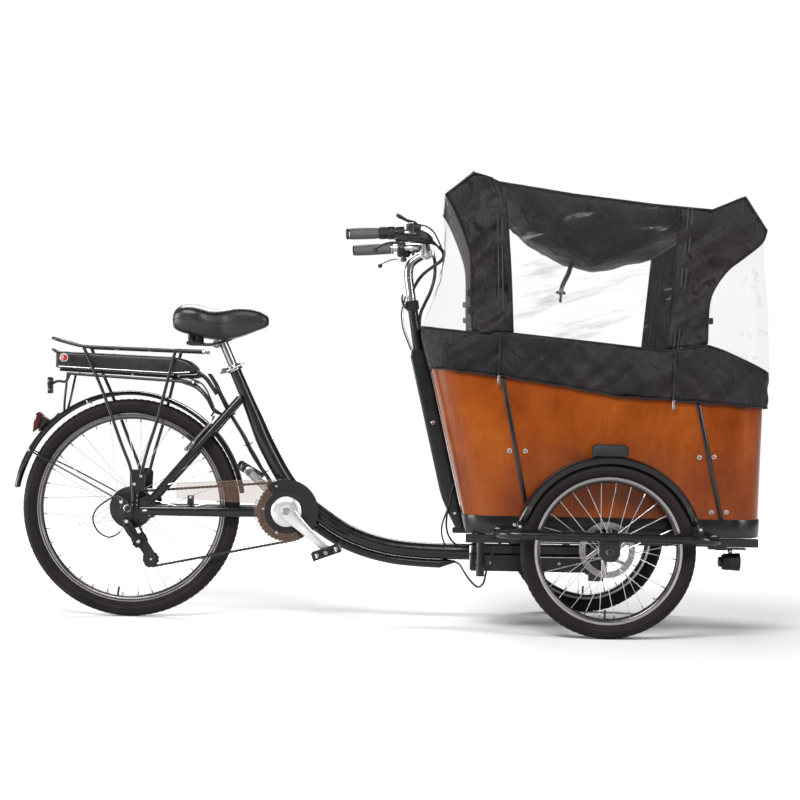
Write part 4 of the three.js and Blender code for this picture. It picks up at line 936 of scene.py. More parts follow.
def make_front_wheel(side, name):
    centre = (FRONT_X, TRACK * side, FRONT_R)
    tyre = Piece(TYRE)
    tread(tyre, centre, FRONT_R, FRONT_RIM, 23, 320)
    tyre.make(f"front_tyre_{name}_tread", f"front_wheel_{name}", "tyre_rubber", f"front_tyre_{name}")
    wheel = Piece(SILVER)
    wheel.lathe(centre, rim_profile(FRONT_RIM), 120, RIM)
    bright_edges(wheel, centre, FRONT_RIM)
    hub = [(8.5, -33), (14, -33), (22, -30), (27, -27), (27, -24), (18, -21), (14, -14), (14, 14), (18, 21),
           (27, 24), (27, 27), (20, 31), (14, 33), (8.5, 33)]
    wheel.lathe(centre, [(r, h * side) for r, h in hub], 48, SILVER)
    disc_y = centre[1] - 29 * side
    for inner, outer in ((62, 80), (17, 30)):
        wheel.lathe((FRONT_X, disc_y, FRONT_R), [(inner, -1), (outer, -1), (outer, 1), (inner, 1)], 72, STEEL)
    for k in range(6):
        a, b = polar(FRONT_X, FRONT_R, 27, 60 * k), polar(FRONT_X, FRONT_R, 66, 60 * k + 24)
        wheel.tube([(a[0], disc_y, a[1]), (b[0], disc_y, b[1])], 4.5, 8, STEEL, flat=0.25, up=(0, 1, 0))
        x, z = polar(FRONT_X, FRONT_R, 22, 60 * k)
        wheel.bolt((x, disc_y - side, z), (0, -side, 0), 2.6, 2)
    for k in range(36):  # vent holes read as dark studs on the braking band
        x, z = polar(FRONT_X, FRONT_R, 67 + 4 * (k % 3), 10 * k)
        wheel.pin(x, z, disc_y - 1.15, disc_y + 1.15, 1.7, 8, MATT_BLACK, edge=0.2)
    lacing(wheel, centre, FRONT_RIM, 28, 25, (-25.5, 25.5), 42)
    valve(wheel, centre, FRONT_RIM, 268)
    wheel.make(f"front_wheel_{name}_laced", f"front_wheel_{name}", "silver_metal", f"front_wheel_{name}")


make_rear_wheel()
for wheel_side, wheel_name in sides():
    make_front_wheel(wheel_side, wheel_name)


# ---------------------------------------------------------------- drive
def toothed(piece, centre, teeth, radius, inner, y, thick, material, depth=4.2):
    """A flat ring with teeth, its pitch circle at radius."""
    shape = ((0.0, -0.5), (0.18, 0.1), (0.36, 0.95), (0.5, 1.0), (0.64, 0.95), (0.82, 0.1))
    rings = []
    for k in range(teeth):
        for share, rise in shape:
            a = 2 * math.pi * (k + share) / teeth
            c, s = math.cos(a), math.sin(a)
            outer = radius + depth * 0.5 * rise
            thin = thick * (0.5 if rise < 0.5 else 0.28)
            ring = [(inner, -thick / 2), (outer - 3, -thick / 2), (outer, -thin), (outer, thin),
                    (outer - 3, thick / 2), (inner, thick / 2)]
            rings.append([(centre[0] + r * c, y + h, centre[1] + r * s) for r, h in ring])
    piece.put(skin(rings, closed=True), material)


COGS = (28, 24, 22, 20, 18, 16, 14)


def make_freewheel():
    piece = Piece(STEEL)
    for i, teeth in enumerate(COGS):
        radius = CHAIN_PITCH / (2 * math.sin(math.pi / teeth))
        y = -34 - 4.66 * i
        toothed(piece, (0, REAR_R), teeth, radius, 18, y, 1.9, DARK_STEEL)
        piece.lathe((0, y, REAR_R), [(16, -2.3), (20, -2.3), (20, 2.3), (16, 2.3)], 32, DARK_STEEL)
    piece.lathe((0, -64, REAR_R), [(9, -1), (15, -1), (16.5, 0), (16.5, 2), (9, 2)], 32, STEEL)
    piece.make("freewheel_cogs", "freewheel", "steel", "freewheel")


CHAIN_OUT = 9.34 / 475  # the chain runs outwards from the sprocket to the chainring


def chain_path():
    (_, *upper), (_, *lower) = PULLEYS
    loop = arc(BB_X, BB_Z, RING_R, -82, 94, 40) + arc(0, REAR_R, 48.66, 94, 300, 30)
    loop += arc(*upper, PULLEY_R, 62, -20, 12) + arc(*lower, PULLEY_R, 170, 278, 12)
    return [(x, -38.66 - CHAIN_OUT * x, z) for x, z in loop]


def make_chain():
    path = chain_path()
    path.append(path[0])
    length = sum(math.dist(a, b) for a, b in zip(path, path[1:]))
    count = 2 * round(length / CHAIN_PITCH / 2)
    pins = resample(path, count + 1)
    piece = Piece(STEEL)
    for k in range(count):
        a, b = pins[k], pins[k + 1]
        along = unit(b - a)
        over = np.array([-along[2], 0, along[0]])
        gap = 2.7 if k % 2 else 1.75
        for side in (-1, 1):
            rings = []
            for share, half in ((-0.3, 1.2), (-0.2, 3.4), (0.02, 4.1), (0.5, 2.9), (0.98, 4.1), (1.2, 3.4),
                                (1.3, 1.2)):
                centre = a + (b - a) * share + np.array([0, gap * side, 0])
                rings.append([centre + over * half * u + np.array([0, 0.4 * v, 0])
                              for u, v in ((1, -1), (1, 1), (-1, 1), (-1, -1))])
            piece.put(skin(rings), DARK_STEEL)
        piece.rod(a + np.array([0, -3.5, 0]), a + np.array([0, 3.5, 0]), 1.9, 8, DARK_STEEL, edge=0.3)
        piece.rod(a + np.array([0, -1.3, 0]), a + np.array([0, 1.3, 0]), 3.8, 10, DARK_STEEL, edge=0.3)
    piece.make("chain_links", "rear_frame", "steel", "chain")


GUARD_INNER, GUARD_OUTER = 66, 97
GUARD_FACES = (-60.4, -58.8)
GUARD_Y = -59.6
GUARD_FOOT = [(142, 364), (260, 358), (378, 352)]


def guard_arc(radius, start, end, steps):
    return arc(BB_X, BB_Z, radius, start, end, steps)


def make_chain_guard():
    piece = Piece(SMOKY)
    plate = GUARD_FOOT + guard_arc(GUARD_INNER, 160, 98, 16) + guard_arc(GUARD_OUTER, 98, 98, 1)
    piece.prism(plate + [(300, 417), (200, 411), (142, 408)], *GUARD_FACES, 0.5)
    rear_part = guard_arc(GUARD_INNER, 158, 298, 30) + guard_arc(GUARD_OUTER, 298, 158, 34)
    piece.prism(rear_part, *GUARD_FACES, 0.5)
    front_part = guard_arc(GUARD_INNER, 128, -52, 36) + guard_arc(GUARD_OUTER, -52, 128, 44)
    piece.prism(front_part, -62.2, -60.2, 0.6, PLASTIC)
    rim = [(142, 408), (200, 411), (300, 417)] + guard_arc(GUARD_OUTER, 98, 90, 4)
    for line, thick in ((guard_arc(GUARD_OUTER, 158, 298, 30), 1.4), (rim, 1.6),
                        (GUARD_FOOT + guard_arc(GUARD_INNER, 160, 128, 8), 1.3)):
        piece.tube([(x, GUARD_Y, z) for x, z in line], thick, 8)
    lip = [(142, 408), (200, 411), (300, 417), (380, 421), (462, 425)]
    roof = [[(x, -59.4, z), (x, -59.4, z + 1.6), (x, -37, z + 1.2), (x, -37, z - 0.2)] for x, z in lip]
    piece.put(skin(roof))
    piece.box((176, 196), (-58.6, -54), (342.5, 372), 1, PLASTIC)
    piece.rod((186, -58, 350), (186, -46, 336), 4, 12, PLASTIC)
    piece.bolt((186, -60.6, 366), (0, -1, 0), 4, 2.4)
    piece.bolt((444, -60.6, 404), (0, -1, 0), 4, 2.4)
    piece.make("chain_guard_cover", "rear_frame", "smoky_plastic", "chain_guard")


CRANK = 170
CRANK_ANGLE = -42
ARM_END = ((0.86, 5.8, 12.6), (1.0, 6.2, 13.6), (1.05, 6.0, 11.5), (1.08, 5, 7))


def crank_arm(piece, turn, y, lean, sections):
    """A forged arm from (share of its length, half width, half depth); returns where its pedal sits."""
    tip = polar(BB_X, BB_Z, CRANK, CRANK_ANGLE + turn)
    arm = [(BB_X + (tip[0] - BB_X) * share, y + lean * share, BB_Z + (tip[1] - BB_Z) * share, wide, deep)
           for share, wide, deep in sections + ARM_END]
    piece.loft(curve(arm, 3), SILVER, 28, 3.0)
    return tip


def make_crankset():
    piece = Piece(SILVER)
    toothed(piece, (BB_X, BB_Z), 44, RING_R, 60, -48, 2.4, DARK_STEEL)
    for k in range(5):
        a, b = polar(BB_X, BB_Z, 20, 72 * k + 18), polar(BB_X, BB_Z, 66, 72 * k + 18)
        piece.tube([(a[0], -49.6, a[1], 12), (b[0], -49.6, b[1], 8)], 10, 12, DARK_STEEL, flat=0.16,
                   up=(0, 1, 0))
    piece.make("chainring_teeth", "crankset", "steel", "chainring")

    disc = Piece(PLASTIC)
    disc.lathe((BB_X, -54, BB_Z), [(24, -1), (60, -1.6), (64, -2.4), (74, -2.4), (78, -1.4), (80, -0.6),
                                   (80, 0.9), (24, 0.9)], 96, PLASTIC)
    for k in range(5):
        x, z = polar(BB_X, BB_Z, 70, 72 * k + 30)
        disc.bolt((x, -56.5, z), (0, -1, 0), 4.4, 2)
    disc.make("chainring_cover", "crankset", "black_plastic", "chainring_disc")

    right = Piece(SILVER)
    cover = [(4, -67), (12, -67.4), (13, -66), (22, -66), (23, -67), (30, -66.6), (31, -65.4), (41, -63.5),
             (45.6, -60), (45.6, -55.6), (4, -55.6)]
    right.lathe((BB_X, 0, BB_Z), cover, 64, SILVER)
    sections = ((0, 6.4, 21), (0.1, 6.6, 23), (0.24, 6.5, 20), (0.42, 6.2, 16.5), (0.65, 5.8, 14))
    tip = crank_arm(right, 0, -69.4, 0.4, sections)
    right.pin(BB_X, BB_Z, -76.5, -70, 11, 28, BRIGHT, edge=1.5)
    right.pin(tip[0], tip[1], -77.2, -64, 8.5, 24, STEEL)
    right.make("crank_arm_right", "crankset", "silver_metal", "crank_right")

    left = Piece(SILVER)
    sections = ((-0.06, 5, 12), (0, 6.4, 17), (0.1, 6.5, 17), (0.3, 6.2, 15), (0.6, 5.8, 13))
    tip = crank_arm(left, 180, 72.5, 0.0, sections)
    left.pin(BB_X, BB_Z, -66, 73, 8, 24, STEEL)
    left.pin(BB_X, BB_Z, 74, 79.5, 11, 28, PLASTIC, edge=1.5)
    left.pin(BB_X, BB_Z, 38, 66, 14, 28, SILVER, edge=2)
    left.pin(tip[0], tip[1], 66, 80, 8.5, 24, STEEL)
    left.make("crank_arm_left", "crankset", "silver_metal", "crank_left")


def make_pedal(side, name, inner, tilt):
    turn = 0 if side < 0 else 180
    x, z = polar(BB_X, BB_Z, CRANK, CRANK_ANGLE + turn)
    piece = Piece(MATT_BLACK)
    low = inner + 6
    piece.pin(0, 0, inner * side, (inner + 92) * side, 6.5, 20, STEEL)
    piece.pin(0, 0, (low + 2) * side, (inner + 86) * side, 11, 20, MATT_BLACK, edge=2)
    for at in (low, inner + 84):
        for low_z in (-12, 7):
            piece.box((-40, 40), span(at, at + 7, side), (low_z, low_z + 5), 1.6)
        for post in (-30, -12, 12, 30):
            bar = SILVER if abs(post) > 20 else MATT_BLACK
            piece.box((post - 3, post + 3), span(at + 0.6, at + 6.4, side), (-8, 8), 1.2, bar)
    for at in (-43, 38):
        piece.box((at, at + 5), span(low, inner + 91, side), (-12, 12), 1.5)
        for k in range(9):
            y = low + 5 + k * 9.2
            piece.box((at + 0.4, at + 4.6), span(y, y + 4.5, side), (-13, 13), 0.8)
        outer = at - 0.9 if at < 0 else at + 3.9
        piece.box((outer, outer + 2), span(low + 22, inner + 70, side), (-8, 8), 0.8, WHITE_LENS)
    for at in (-20, 20):
        piece.box((at - 2, at + 2), span(low + 5, inner + 86, side), (-9, 9), 1)
    matrix = Matrix.Translation((x, 0, z)) @ Matrix.Rotation(math.radians(-tilt), 4, "Y")
    piece.turned(matrix)
    piece.make(f"pedal_{name}_cage", f"pedal_{name}", "black_plastic", f"pedal_{name}")


# ---------------------------------------------------------------- derailleur and rear brake
DERAILLEUR_BOLT = (-2, 292)


def make_derailleur():
    body = Piece(PLASTIC)
    body.prism([(-15, 328), (15, 330), (15, 316), (9, 292), (-3, 284), (-13, 292)], -79, -74.3, 1.2,
               BLACK_PAINT)
    body.pin(*DERAILLEUR_BOLT, -88, -74.5, 11, 32, PLASTIC, edge=2)
    body.pin(*DERAILLEUR_BOLT, -90, -87, 6, 6, SILVER)
    link = curve([(-4, -82, 292, 8, 13), (8, -77, 268, 8, 15), (20, -70, 248, 7.5, 13),
                  (28, -65, 236, 7, 10)], 5)
    body.loft(link, PLASTIC, 20, 3.0)
    body.tube([(-2, -92, 280), (12, -86, 258), (25, -77, 242)], 4.2, 10, DARK_STEEL)
    _, *cage_pivot = PULLEYS[0]
    body.pin(*cage_pivot, -66, -49, 11, 32, PLASTIC, edge=1.5)
    body.pin(*cage_pivot, -68, -65, 6, 18, SILVER)
    body.tube(curve([(45, -80, 325), (22, -84, 330), (-6, -90, 352), (-30, -88, 366), (-58, -86, 356),
                     (-92, -86, 328), (-103, -86, 296), (-88, -85, 262), (-58, -84, 244), (-34, -82, 250),
                     (-14, -82, 268)], 7), 2.5, 10, CABLE)
    body.rod((-20, -82, 262), (-10, -82, 272), 3.6, 14, SILVER)
    body.rod((45, -80, 325), (58, -79, 325), 3.4, 14, SILVER)
    body.make("derailleur_arm", "rear_frame", "black_plastic", "derailleur_body")

    cage = Piece(MATT_BLACK)
    plate = [(16, 240), (22, 250), (36, 252), (48, 242), (60, 222), (84, 186), (84, 168), (76, 156),
             (62, 151), (50, 158), (48, 172), (46, 190), (30, 214), (18, 226)]
    for low, high in ((-48.4, -46.6), (-32.4, -30.6)):
        cage.prism(plate, low, high, 0.5)
    for _, x, z in PULLEYS:
        cage.pin(x, z, -49.5, -29.8, 3.2, 14, SILVER)
    cage.make("derailleur_cage_plates", "derailleur_cage", "black_plastic", "derailleur_cage")
    for node, x, z in PULLEYS:
        pulley = Piece(MATT_BLACK)
        toothed(pulley, (x, z), 11, PULLEY_R, 6, -39.5, 4.0, MATT_BLACK)
        pulley.lathe((x, -39.5, z), [(4, -4.5), (8, -4.5), (9, -2.5), (9, 2.5), (8, 4.5), (4, 4.5)], 24,
                     SILVER)
        pulley.make(node + "_wheel", node, "black_plastic", node)


def make_brake_arm(side, name):
    piece = Piece(BRIGHT)
    y = 36 * side
    stations = [(169, y, 509, 4.5, 7), (182, y, 525, 4.2, 6.5), (200, y, 547, 3.6, 5.5),
                (220, y, 570, 3.2, 4.8), (236, y, 588, 3.6, 5)]
    piece.loft(curve(stations, 4), BRIGHT, 16, 3.0)
    piece.pin(170, 510, 31 * side, 42 * side, 6, 20, SILVER)
    piece.pin(189, 531, 15.4 * side, 42 * side, 4, 16, SILVER)
    pad = span(15.6, 21.8, side)
    piece.prism([(164, 549), (208, 508), (213, 514), (169, 555)], *pad, 1.4, MATT_BLACK)
    if side < 0:
        noodle = curve([(236, -36, 588), (244, -30, 600), (248, -14, 612), (240, 8, 606), (236, 30, 592)], 7)
        piece.tube(noodle[:20], 2.4, 12, BRIGHT)
    piece.make(f"brake_arm_{name}_forged", f"brake_arm_{name}", "silver_metal", f"brake_arm_{name}")


make_freewheel()
make_chain()
make_chain_guard()
make_crankset()
make_pedal(-1, "right", 77.5, 20)
make_pedal(1, "left", 80.5, -30)
make_derailleur()
for arm_side, arm_name in sides():
    make_brake_arm(arm_side, arm_name)


# ---------------------------------------------------------------- front frame
def make_side_bar(side, name):
    piece = Piece(BLACK_PAINT)
    bar = [(1101.5, 318, 290), (1104, 400, 295), (1140, 430, 294), (1420, 430, 292), (1684, 430, 288),
           (1718, 402, 283), (1720, 318, 278)]
    piece.tube(bent([(x, y * side, z) for x, y, z in bar], 34), 12.5, 24)
    for x, z in ((1101.5, 290), (1720, 278)):
        piece.pin(x, z, 311 * side, 330 * side, 15.5, 24, edge=1.2)
        piece.rod((x, 322 * side, z - 17), (x, 322 * side, z + 18), 5, 6, SILVER)
        piece.rod((x, 322 * side, z + 14.5), (x, 322 * side, z + 16.5), 9, 20, SILVER)
    plate = [(1383, 286), (1383, 242), (1390, 230), (1400, 222), (1426, 222), (1436, 230), (1443, 242),
             (1443, 286)]
    piece.prism(plate, *span(414, 419.6, side), 1.2)
    piece.pin(FRONT_X, FRONT_R, 301 * side, 437 * side, 6, 18, STEEL)
    piece.pin(FRONT_X, FRONT_R, 420 * side, 422 * side, 13, 28, DARK_STEEL)
    piece.pin(FRONT_X, FRONT_R, 422 * side, 429.5 * side, 11, 6, STEEL, edge=1)
    piece.pin(FRONT_X, FRONT_R, 429.5 * side, 438.5 * side, 8, 18, MATT_BLACK, edge=2.5)
    piece.make(f"side_bar_{name}_tube", "front_module", "black_paint", f"side_bar_{name}")


def make_front_fender(side, name):
    piece = Piece(GLOSS_BLACK)
    y = TRACK * side
    fender_surface(piece, FRONT_X, FRONT_R, 271, 32, 164, 17, y, 90, GLOSS_BLACK, 21)
    rows = [((1364, 1465), 26, 519), ((1363, 1466), 27, 524), ((1363, 1466), 27, 544),
            ((1368, 1461), 24, 550), ((1376, 1453), 18, 551.5)]
    rings = []
    for (x0, x1), half, z in rows:
        rings.append([((x0 + x1) / 2 + squarish(c, 4) * (x1 - x0) / 2, y + squarish(s, 4) * half, z)
                      for c, s in circle(32, 0.5)])
    piece.put(skin(rings), MATT_BLACK)
    for x in (1386, 1415, 1444):
        piece.box((x - 10, x + 10), (y - 15, y + 15), (550.6, 552.4), 0.6, MATT_BLACK)
    for x, z, top in ((1159, 328, 307.2), (1667, 332, 302)):
        piece.box((x - 8, x + 8), span(TRACK - 8, 424, side), (z - 3.5, z + 3.5), 1.5, BLACK_PAINT)
        piece.box((x - 8, x + 8), span(418.4, 424, side), (top, z + 2), 1.2, BLACK_PAINT)
        piece.bolt((x, 424 * side, (top + z) / 2), (0, side, 0), 4.5, 3)
    piece.make(f"front_fender_{name}_shell", "front_module", "black_paint", f"front_fender_{name}")


# ---------------------------------------------------------------- box
BOX_HALF = 310
BOX_CORNER = 75
WALL = 12
BASE_Z = 301


def rear_wall_x(z):
    return 1003 - 0.235 * (z - 338)


def front_wall_x(z):
    return 1858 + 0.025 * (z - 338)


def rim_z(x):
    return 836 - (x - 882) * 90 / 986


def rear_joint_x(z):
    return 1187 - (z - 338) * 79 / 405


def front_joint_x(z):
    return 1742 - (z - 338) * 87 / 405


def corner_line(z, inset, at_front, joint_x, steps=9):
    """Half the outline of a corner panel at height z, from the side joint round to the middle."""
    half, corner = BOX_HALF - inset, BOX_CORNER - inset
    wall = front_wall_x(z) - inset if at_front else rear_wall_x(z) + inset
    centre = wall - corner if at_front else wall + corner
    turn = 1 if at_front else -1
    points = [(joint_x + (centre - joint_x) * k / 4, -half) for k in range(4)]
    for k in range(steps + 1):
        a = math.radians(90 * k / steps)
        points.append((centre + turn * corner * math.sin(a), -(half - corner) - corner * math.cos(a)))
    points += [(wall, -(half - corner) * (1 - k / 4)) for k in range(1, 5)]
    return points


def panel_columns(outline, rows=14):
    """Closed upright strips, outer face then inner face, for outline(z, inset) lists of (x, y)."""
    count = len(outline(500, 0))
    columns = []
    for k in range(count):
        outer, inner = [], []
        for inset, line in ((0.0, outer), (WALL, inner)):
            top = 800.0
            for _ in range(4):
                top = rim_z(outline(top, inset)[k][0])
            top -= 1.0
            heights = [BASE_Z] + [BASE_Z + (top - 2 - BASE_Z) * r / rows for r in range(1, rows + 1)] + [top]
            for i, z in enumerate(heights):
                ease = 1.6 if i == len(heights) - 1 else 0.0
                x, y = outline(z, inset + (ease if inset == 0 else -ease))[k]
                line.append((x, y, z))
        columns.append(outer + inner[::-1])
    return columns


def make_box():
    for at_front, name in ((False, "rear"), (True, "front")):
        joint = front_joint_x if at_front else rear_joint_x

        def outline(z, inset):
            gap = 1.2 if at_front else -1.2
            half = corner_line(z, inset, at_front, joint(z) + gap)
            return half + [(x, -y) for x, y in half[-2::-1]]

        piece = Piece(WOOD).put(skin(panel_columns(outline)))
        piece.make(f"box_{name}_plywood", "front_module", "plywood", f"box_{name}_panel", sharp=50)
    for side, name in sides():
        def flat(z, inset):
            start, end = rear_joint_x(z) + 1.2, front_joint_x(z) - 1.2
            return [(start + (end - start) * k / 10, side * (BOX_HALF - inset)) for k in range(11)]

        piece = Piece(WOOD).put(skin(panel_columns(flat)))
        for joint in (rear_joint_x, front_joint_x):
            top = rim_z(joint(780)) - 4
            outline = [(joint(342) - 6, 342), (joint(342) + 6, 342), (joint(top) + 6, top),
                       (joint(top) - 6, top)]
            piece.prism(outline, *span(BOX_HALF, BOX_HALF + 4.5, side), 1.2, BLACK_PAINT)
        for x, z in ((1131.7, 528.8), (1176.8, 528.5), (1676, 519), (1718, 521), (1713, 362), (1756, 363)):
            piece.bolt((x, BOX_HALF * side, z), (0, side, 0), 5, 3.4, BRIGHT)
            piece.bolt((x, BOX_HALF * side, z), (0, side, 0), 6.6, 0.9, SILVER)
        piece.make(f"box_side_{name}_plywood", "front_module", "plywood", f"box_side_panel_{name}", sharp=50)


def tray_outline(z, outset):
    half, corner = BOX_HALF + outset, BOX_CORNER + outset
    rear, front = rear_wall_x(z) - outset, front_wall_x(z) + outset
    return rounded_rectangle(rear, front, half, corner, 8)


def make_tray():
    piece = Piece(BLACK_PAINT)
    rows = [(288.2, 1), (289.5, 3.4), (292, 4), (338, 4), (340.6, 3.2), (341, 1.4), (340, 0.25),
            (300.4, 0.25)]
    rings = [[(x, y, z) for x, y in tray_outline(z, outset)] for z, outset in rows]
    piece.put(skin(rings), BLACK_PAINT)
    for side in (-1, 1):
        for x in (1150, 1400, 1650):
            piece.bolt((x, (BOX_HALF + 4) * side, 316), (0, side, 0), 5.5, 3)
    piece.make("box_base_tray", "front_module", "black_paint", "box_tray")


for bar_side, bar_name in sides():
    make_side_bar(bar_side, bar_name)
    make_front_fender(bar_side, bar_name)
make_box()
make_tray()


# ---------------------------------------------------------------- steering column and stem
def column_right(z):
    return rear_wall_x(z) - 3


def on_column(z):
    return 842 - 0.15 * (z - 965)


COLUMN_CLAMP = (820, 956)


def make_column():
    piece = Piece(BLACK_PAINT)
    stations = [(column_right(z) - half, 0, z, 20, half)
                for z, half in ((285, 13), (300, 15), (340, 20), (380, 24), (404, 25), (550, 25), (700, 25),
                         (806, 25), (818, 22), (824, 17))]
    piece.loft(stations, BLACK_PAINT, 32, 6.0)
    piece.box((976, 1043.4), (-18, 18), (270.4, 286), 2)
    piece.box((1034, 1043.4), (-59, 59), (262.4, 286), 2)
    for side in (-1, 1):
        piece.bolt((1034, 44 * side, 274), (-1, 0, 0), 6, 4)
        piece.bolt((column_right(604) - 25, 20 * side, 604), (0, side, 0), 7, 3.5, BRIGHT)
        piece.bolt((column_right(330) - 20, 20 * side, 330), (0, side, 0), 5, 3)
    piece.rod((on_column(800), 0, 800), (on_column(958), 0, 958), 15, 36)
    low, high = (on_column(944), 0, 944), (on_column(972), 0, 972)
    piece.rod(low, high, 20, 40, MATT_BLACK, edge=2)
    for side in (-1, 1):
        piece.box((813, 832), span(2.2, 9, side), (948, 964), 1.5, MATT_BLACK)
    piece.make("steering_column_shell", "front_module", "black_paint", "steering_column")

    lever = Piece(PLASTIC)
    lever.pin(*COLUMN_CLAMP, -25, 12.5, 4.6, 18, BRIGHT)
    lever.pin(*COLUMN_CLAMP, 9.5, 13.5, 7.5, 6, BRIGHT)
    blade = curve([(820, 0, 953, 5), (815, 0, 962, 5.4), (812, 0, 976, 4.6), (813, 0, 987, 3.6),
                   (814, 0, 990, 2)], 5)
    lever.tube([(x, -20.5, z, r) for x, _, z, r in blade], 5, 14, PLASTIC, flat=0.66)
    lever.make("column_clamp_handle", "column_clamp_lever", "black_plastic", "column_clamp_lever")


# ---------------------------------------------------------------- handlebar
GRIP_INNER = np.array([776.0, 268.0, 1153.0])
GRIP_OUTER = np.array([654.0, 284.0, 1146.0])


def on_grip(share, side=1):
    return (GRIP_INNER + (GRIP_OUTER - GRIP_INNER) * share) * np.array([1, side, 1])


def make_bar():
    piece = Piece(BRIGHT)
    stem = [(on_column(872), 0, 872), (on_column(1052), 0, 1052), (834, 0, 1086), (862, 0, 1106),
            (876, 0, 1113)]
    piece.tube(bent(stem, 26, 8), 13.4, 32)
    piece.rod((on_column(1040), 0, 1040), (on_column(1042.5), 0, 1042.5), 14, 32, SILVER)
    piece.pin(881, 1116, -21, 21, 18.6, 36, SILVER, edge=2.5)
    for y in (-13, 13):
        piece.box((886, 902), (y - 6, y + 6), (1108, 1122), 3, SILVER)
        piece.bolt((894, y, 1108.5), (0.2, 0, -1), 4.6, 5, STEEL)
        piece.bolt((893, y, 1122), (0.2, 0, 1), 4.6, 4, STEEL)
    for side in (-1, 1):
        bar = [tuple(on_grip(0.97, side)), tuple(on_grip(-0.38, side)), (874, 200 * side, 1158),
               (884, 80 * side, 1124), (881, 40 * side, 1116), (881, 18 * side, 1116)]
        piece.tube(bent(bar, 55, 9), 11, 28)
    piece.rod((846, 252, 1136), (862, 252, 1136), 15, 32, BRIGHT, edge=5)
    piece.rod((838, 252, 1136), (847, 252, 1136), 11, 24, PLASTIC, edge=2)
    piece.tube([(846, 246, 1142), (846, 240, 1158)], 3.5, 10, PLASTIC)
    piece.make("handlebar_and_stem", "handlebar", "chrome", "handlebar", "stem")


def ribbed_grip(piece, side, start, end, radius, ribs, material):
    a, b = on_grip(start, side), on_grip(end, side)
    along = unit(b - a)
    over = unit(np.cross(along, [0, 0, 1]))
    up = np.cross(over, along)
    rings = []
    length = np.linalg.norm(b - a)
    for i in range(ribs * 4 + 1):
        share = i / (ribs * 4)
        swell = 1 + 0.05 * math.sin(math.pi * share)
        groove = 0.65 if i % 4 in (1, 2) else 0
        near = min(share, 1 - share) * length
        r = radius * swell - groove - max(0.0, 2.5 - near)
        ring = []
        for k, (c, s) in enumerate(circle(36)):
            notch = 0.7 if k % 3 == 0 and near > 2 else 0
            ring.append(a + along * length * share + (over * c + up * s) * (r - notch))
        rings.append(ring)
    piece.put(skin(rings), material)


def make_grips():
    right = Piece(GRIP)
    ribbed_grip(right, -1, 0.27, 0.955, 16.3, 22, GRIP)
    right.rod(on_grip(0.955, -1), on_grip(0.975, -1), 17.2, 32, BRIGHT, edge=0.8)
    right.rod(on_grip(0.975, -1), on_grip(1.03, -1), 16.2, 32, MATT_BLACK, edge=5)
    right.make("grip_right_rubber", "handlebar", "grip_rubber", "grip_right")
    left = Piece(GRIP)
    ribbed_grip(left, 1, 0.03, 1.0, 17, 32, GRIP)
    left.rod(on_grip(-0.01), on_grip(0.03), 18, 32, BRIGHT, edge=0.8)
    left.rod(on_grip(1.0), on_grip(1.03), 16.6, 32, MATT_BLACK, edge=5)
    left.make("grip_left_rubber", "handlebar", "grip_rubber", "grip_left")
    throttle = Piece(MATT_BLACK)
    ribbed_grip(throttle, -1, 0.05, 0.265, 17.6, 7, MATT_BLACK)
    throttle.rod(on_grip(-0.12, -1), on_grip(0.06, -1), 19.5, 40, PLASTIC, edge=3)
    throttle.make("throttle_sleeve", "throttle", "grip_rubber", "throttle_grip")


PIVOT_X, PIVOT_Y = 811, 277  # where the brake levers turn


def make_controls():
    piece = Piece(PLASTIC)
    for side in (-1, 1):
        piece.rod(on_grip(-0.14, side), on_grip(-0.34, side), 18, 36, PLASTIC, edge=2)
        piece.box((790, 832), span(262, 291, side), (1126.5, 1150), 6, PLASTIC)
        piece.bolt((PIVOT_X, PIVOT_Y * side, 1126.2), (0, 0, -1), 5, 2.5, SILVER)
        piece.rod((800, 258 * side, 1150), (820, 256 * side, 1150), 7, 14, DARK_STEEL)
        piece.rod((825, 276 * side, 1142), (842, 270 * side, 1142), 5.2, 16, PLASTIC)
        piece.bolt((812, 254 * side, 1173), (0, 0, 1), 4, 2.5, SILVER)
    piece.make("control_clamps", "handlebar", "black_plastic")

    hood = Piece(PLASTIC)
    hood.loft(curve([(820, -228, 1150, 12, 14), (836, -226, 1150, 18, 20), (858, -222, 1148, 20, 21),
                     (880, -216, 1142, 17, 17), (896, -210, 1136, 11, 10)], 5), PLASTIC, 28, 4.0)
    hood.box((836, 862), (-238, -209), (1168, 1174), 2, MATT_BLACK)
    hood.bolt((824, -226, 1160), (-1, 0, 0.4), 6, 3, SILVER)
    hood.bolt((812, -238, 1152), (-1, 0, 0.2), 5, 3, SILVER)
    hood.rod((820, -228, 1136), (832, -228, 1140), 8, 20, PLASTIC)
    hood.make("control_hood", "handlebar", "black_plastic")


def make_brake_lever(side, name):
    # painted shade: the right lever is black plastic so that it reads as shade below the grips; the left
    # lever is polished silver
    piece = Piece(BRIGHT if side > 0 else PLASTIC)
    blade = [(818, 277, 1120, 5.4), (806, 286, 1121, 5.8), (784, 298, 1122, 5.2), (762, 302, 1117, 4.8),
             (746, 304, 1109, 4.4), (738, 305, 1103, 4)]
    piece.tube([(x, y * side, z, r) for x, y, z, r in curve(blade, 6)], 5, 18, flat=0.7, up=(0, 0, 1))
    x, y = PIVOT_X, PIVOT_Y * side
    piece.rod((x, y, 1112.6), (x, y, 1125.4), 9, 28, DARK_STEEL, edge=1.5)
    piece.rod((x, y, 1111), (x, y, 1113), 4, 14, STEEL)
    piece.put(ball((736, 305 * side, 1100), 7.2), PLASTIC)
    piece.make(f"brake_lever_{name}_blade", f"brake_lever_{name}", "silver_metal", f"brake_lever_{name}")


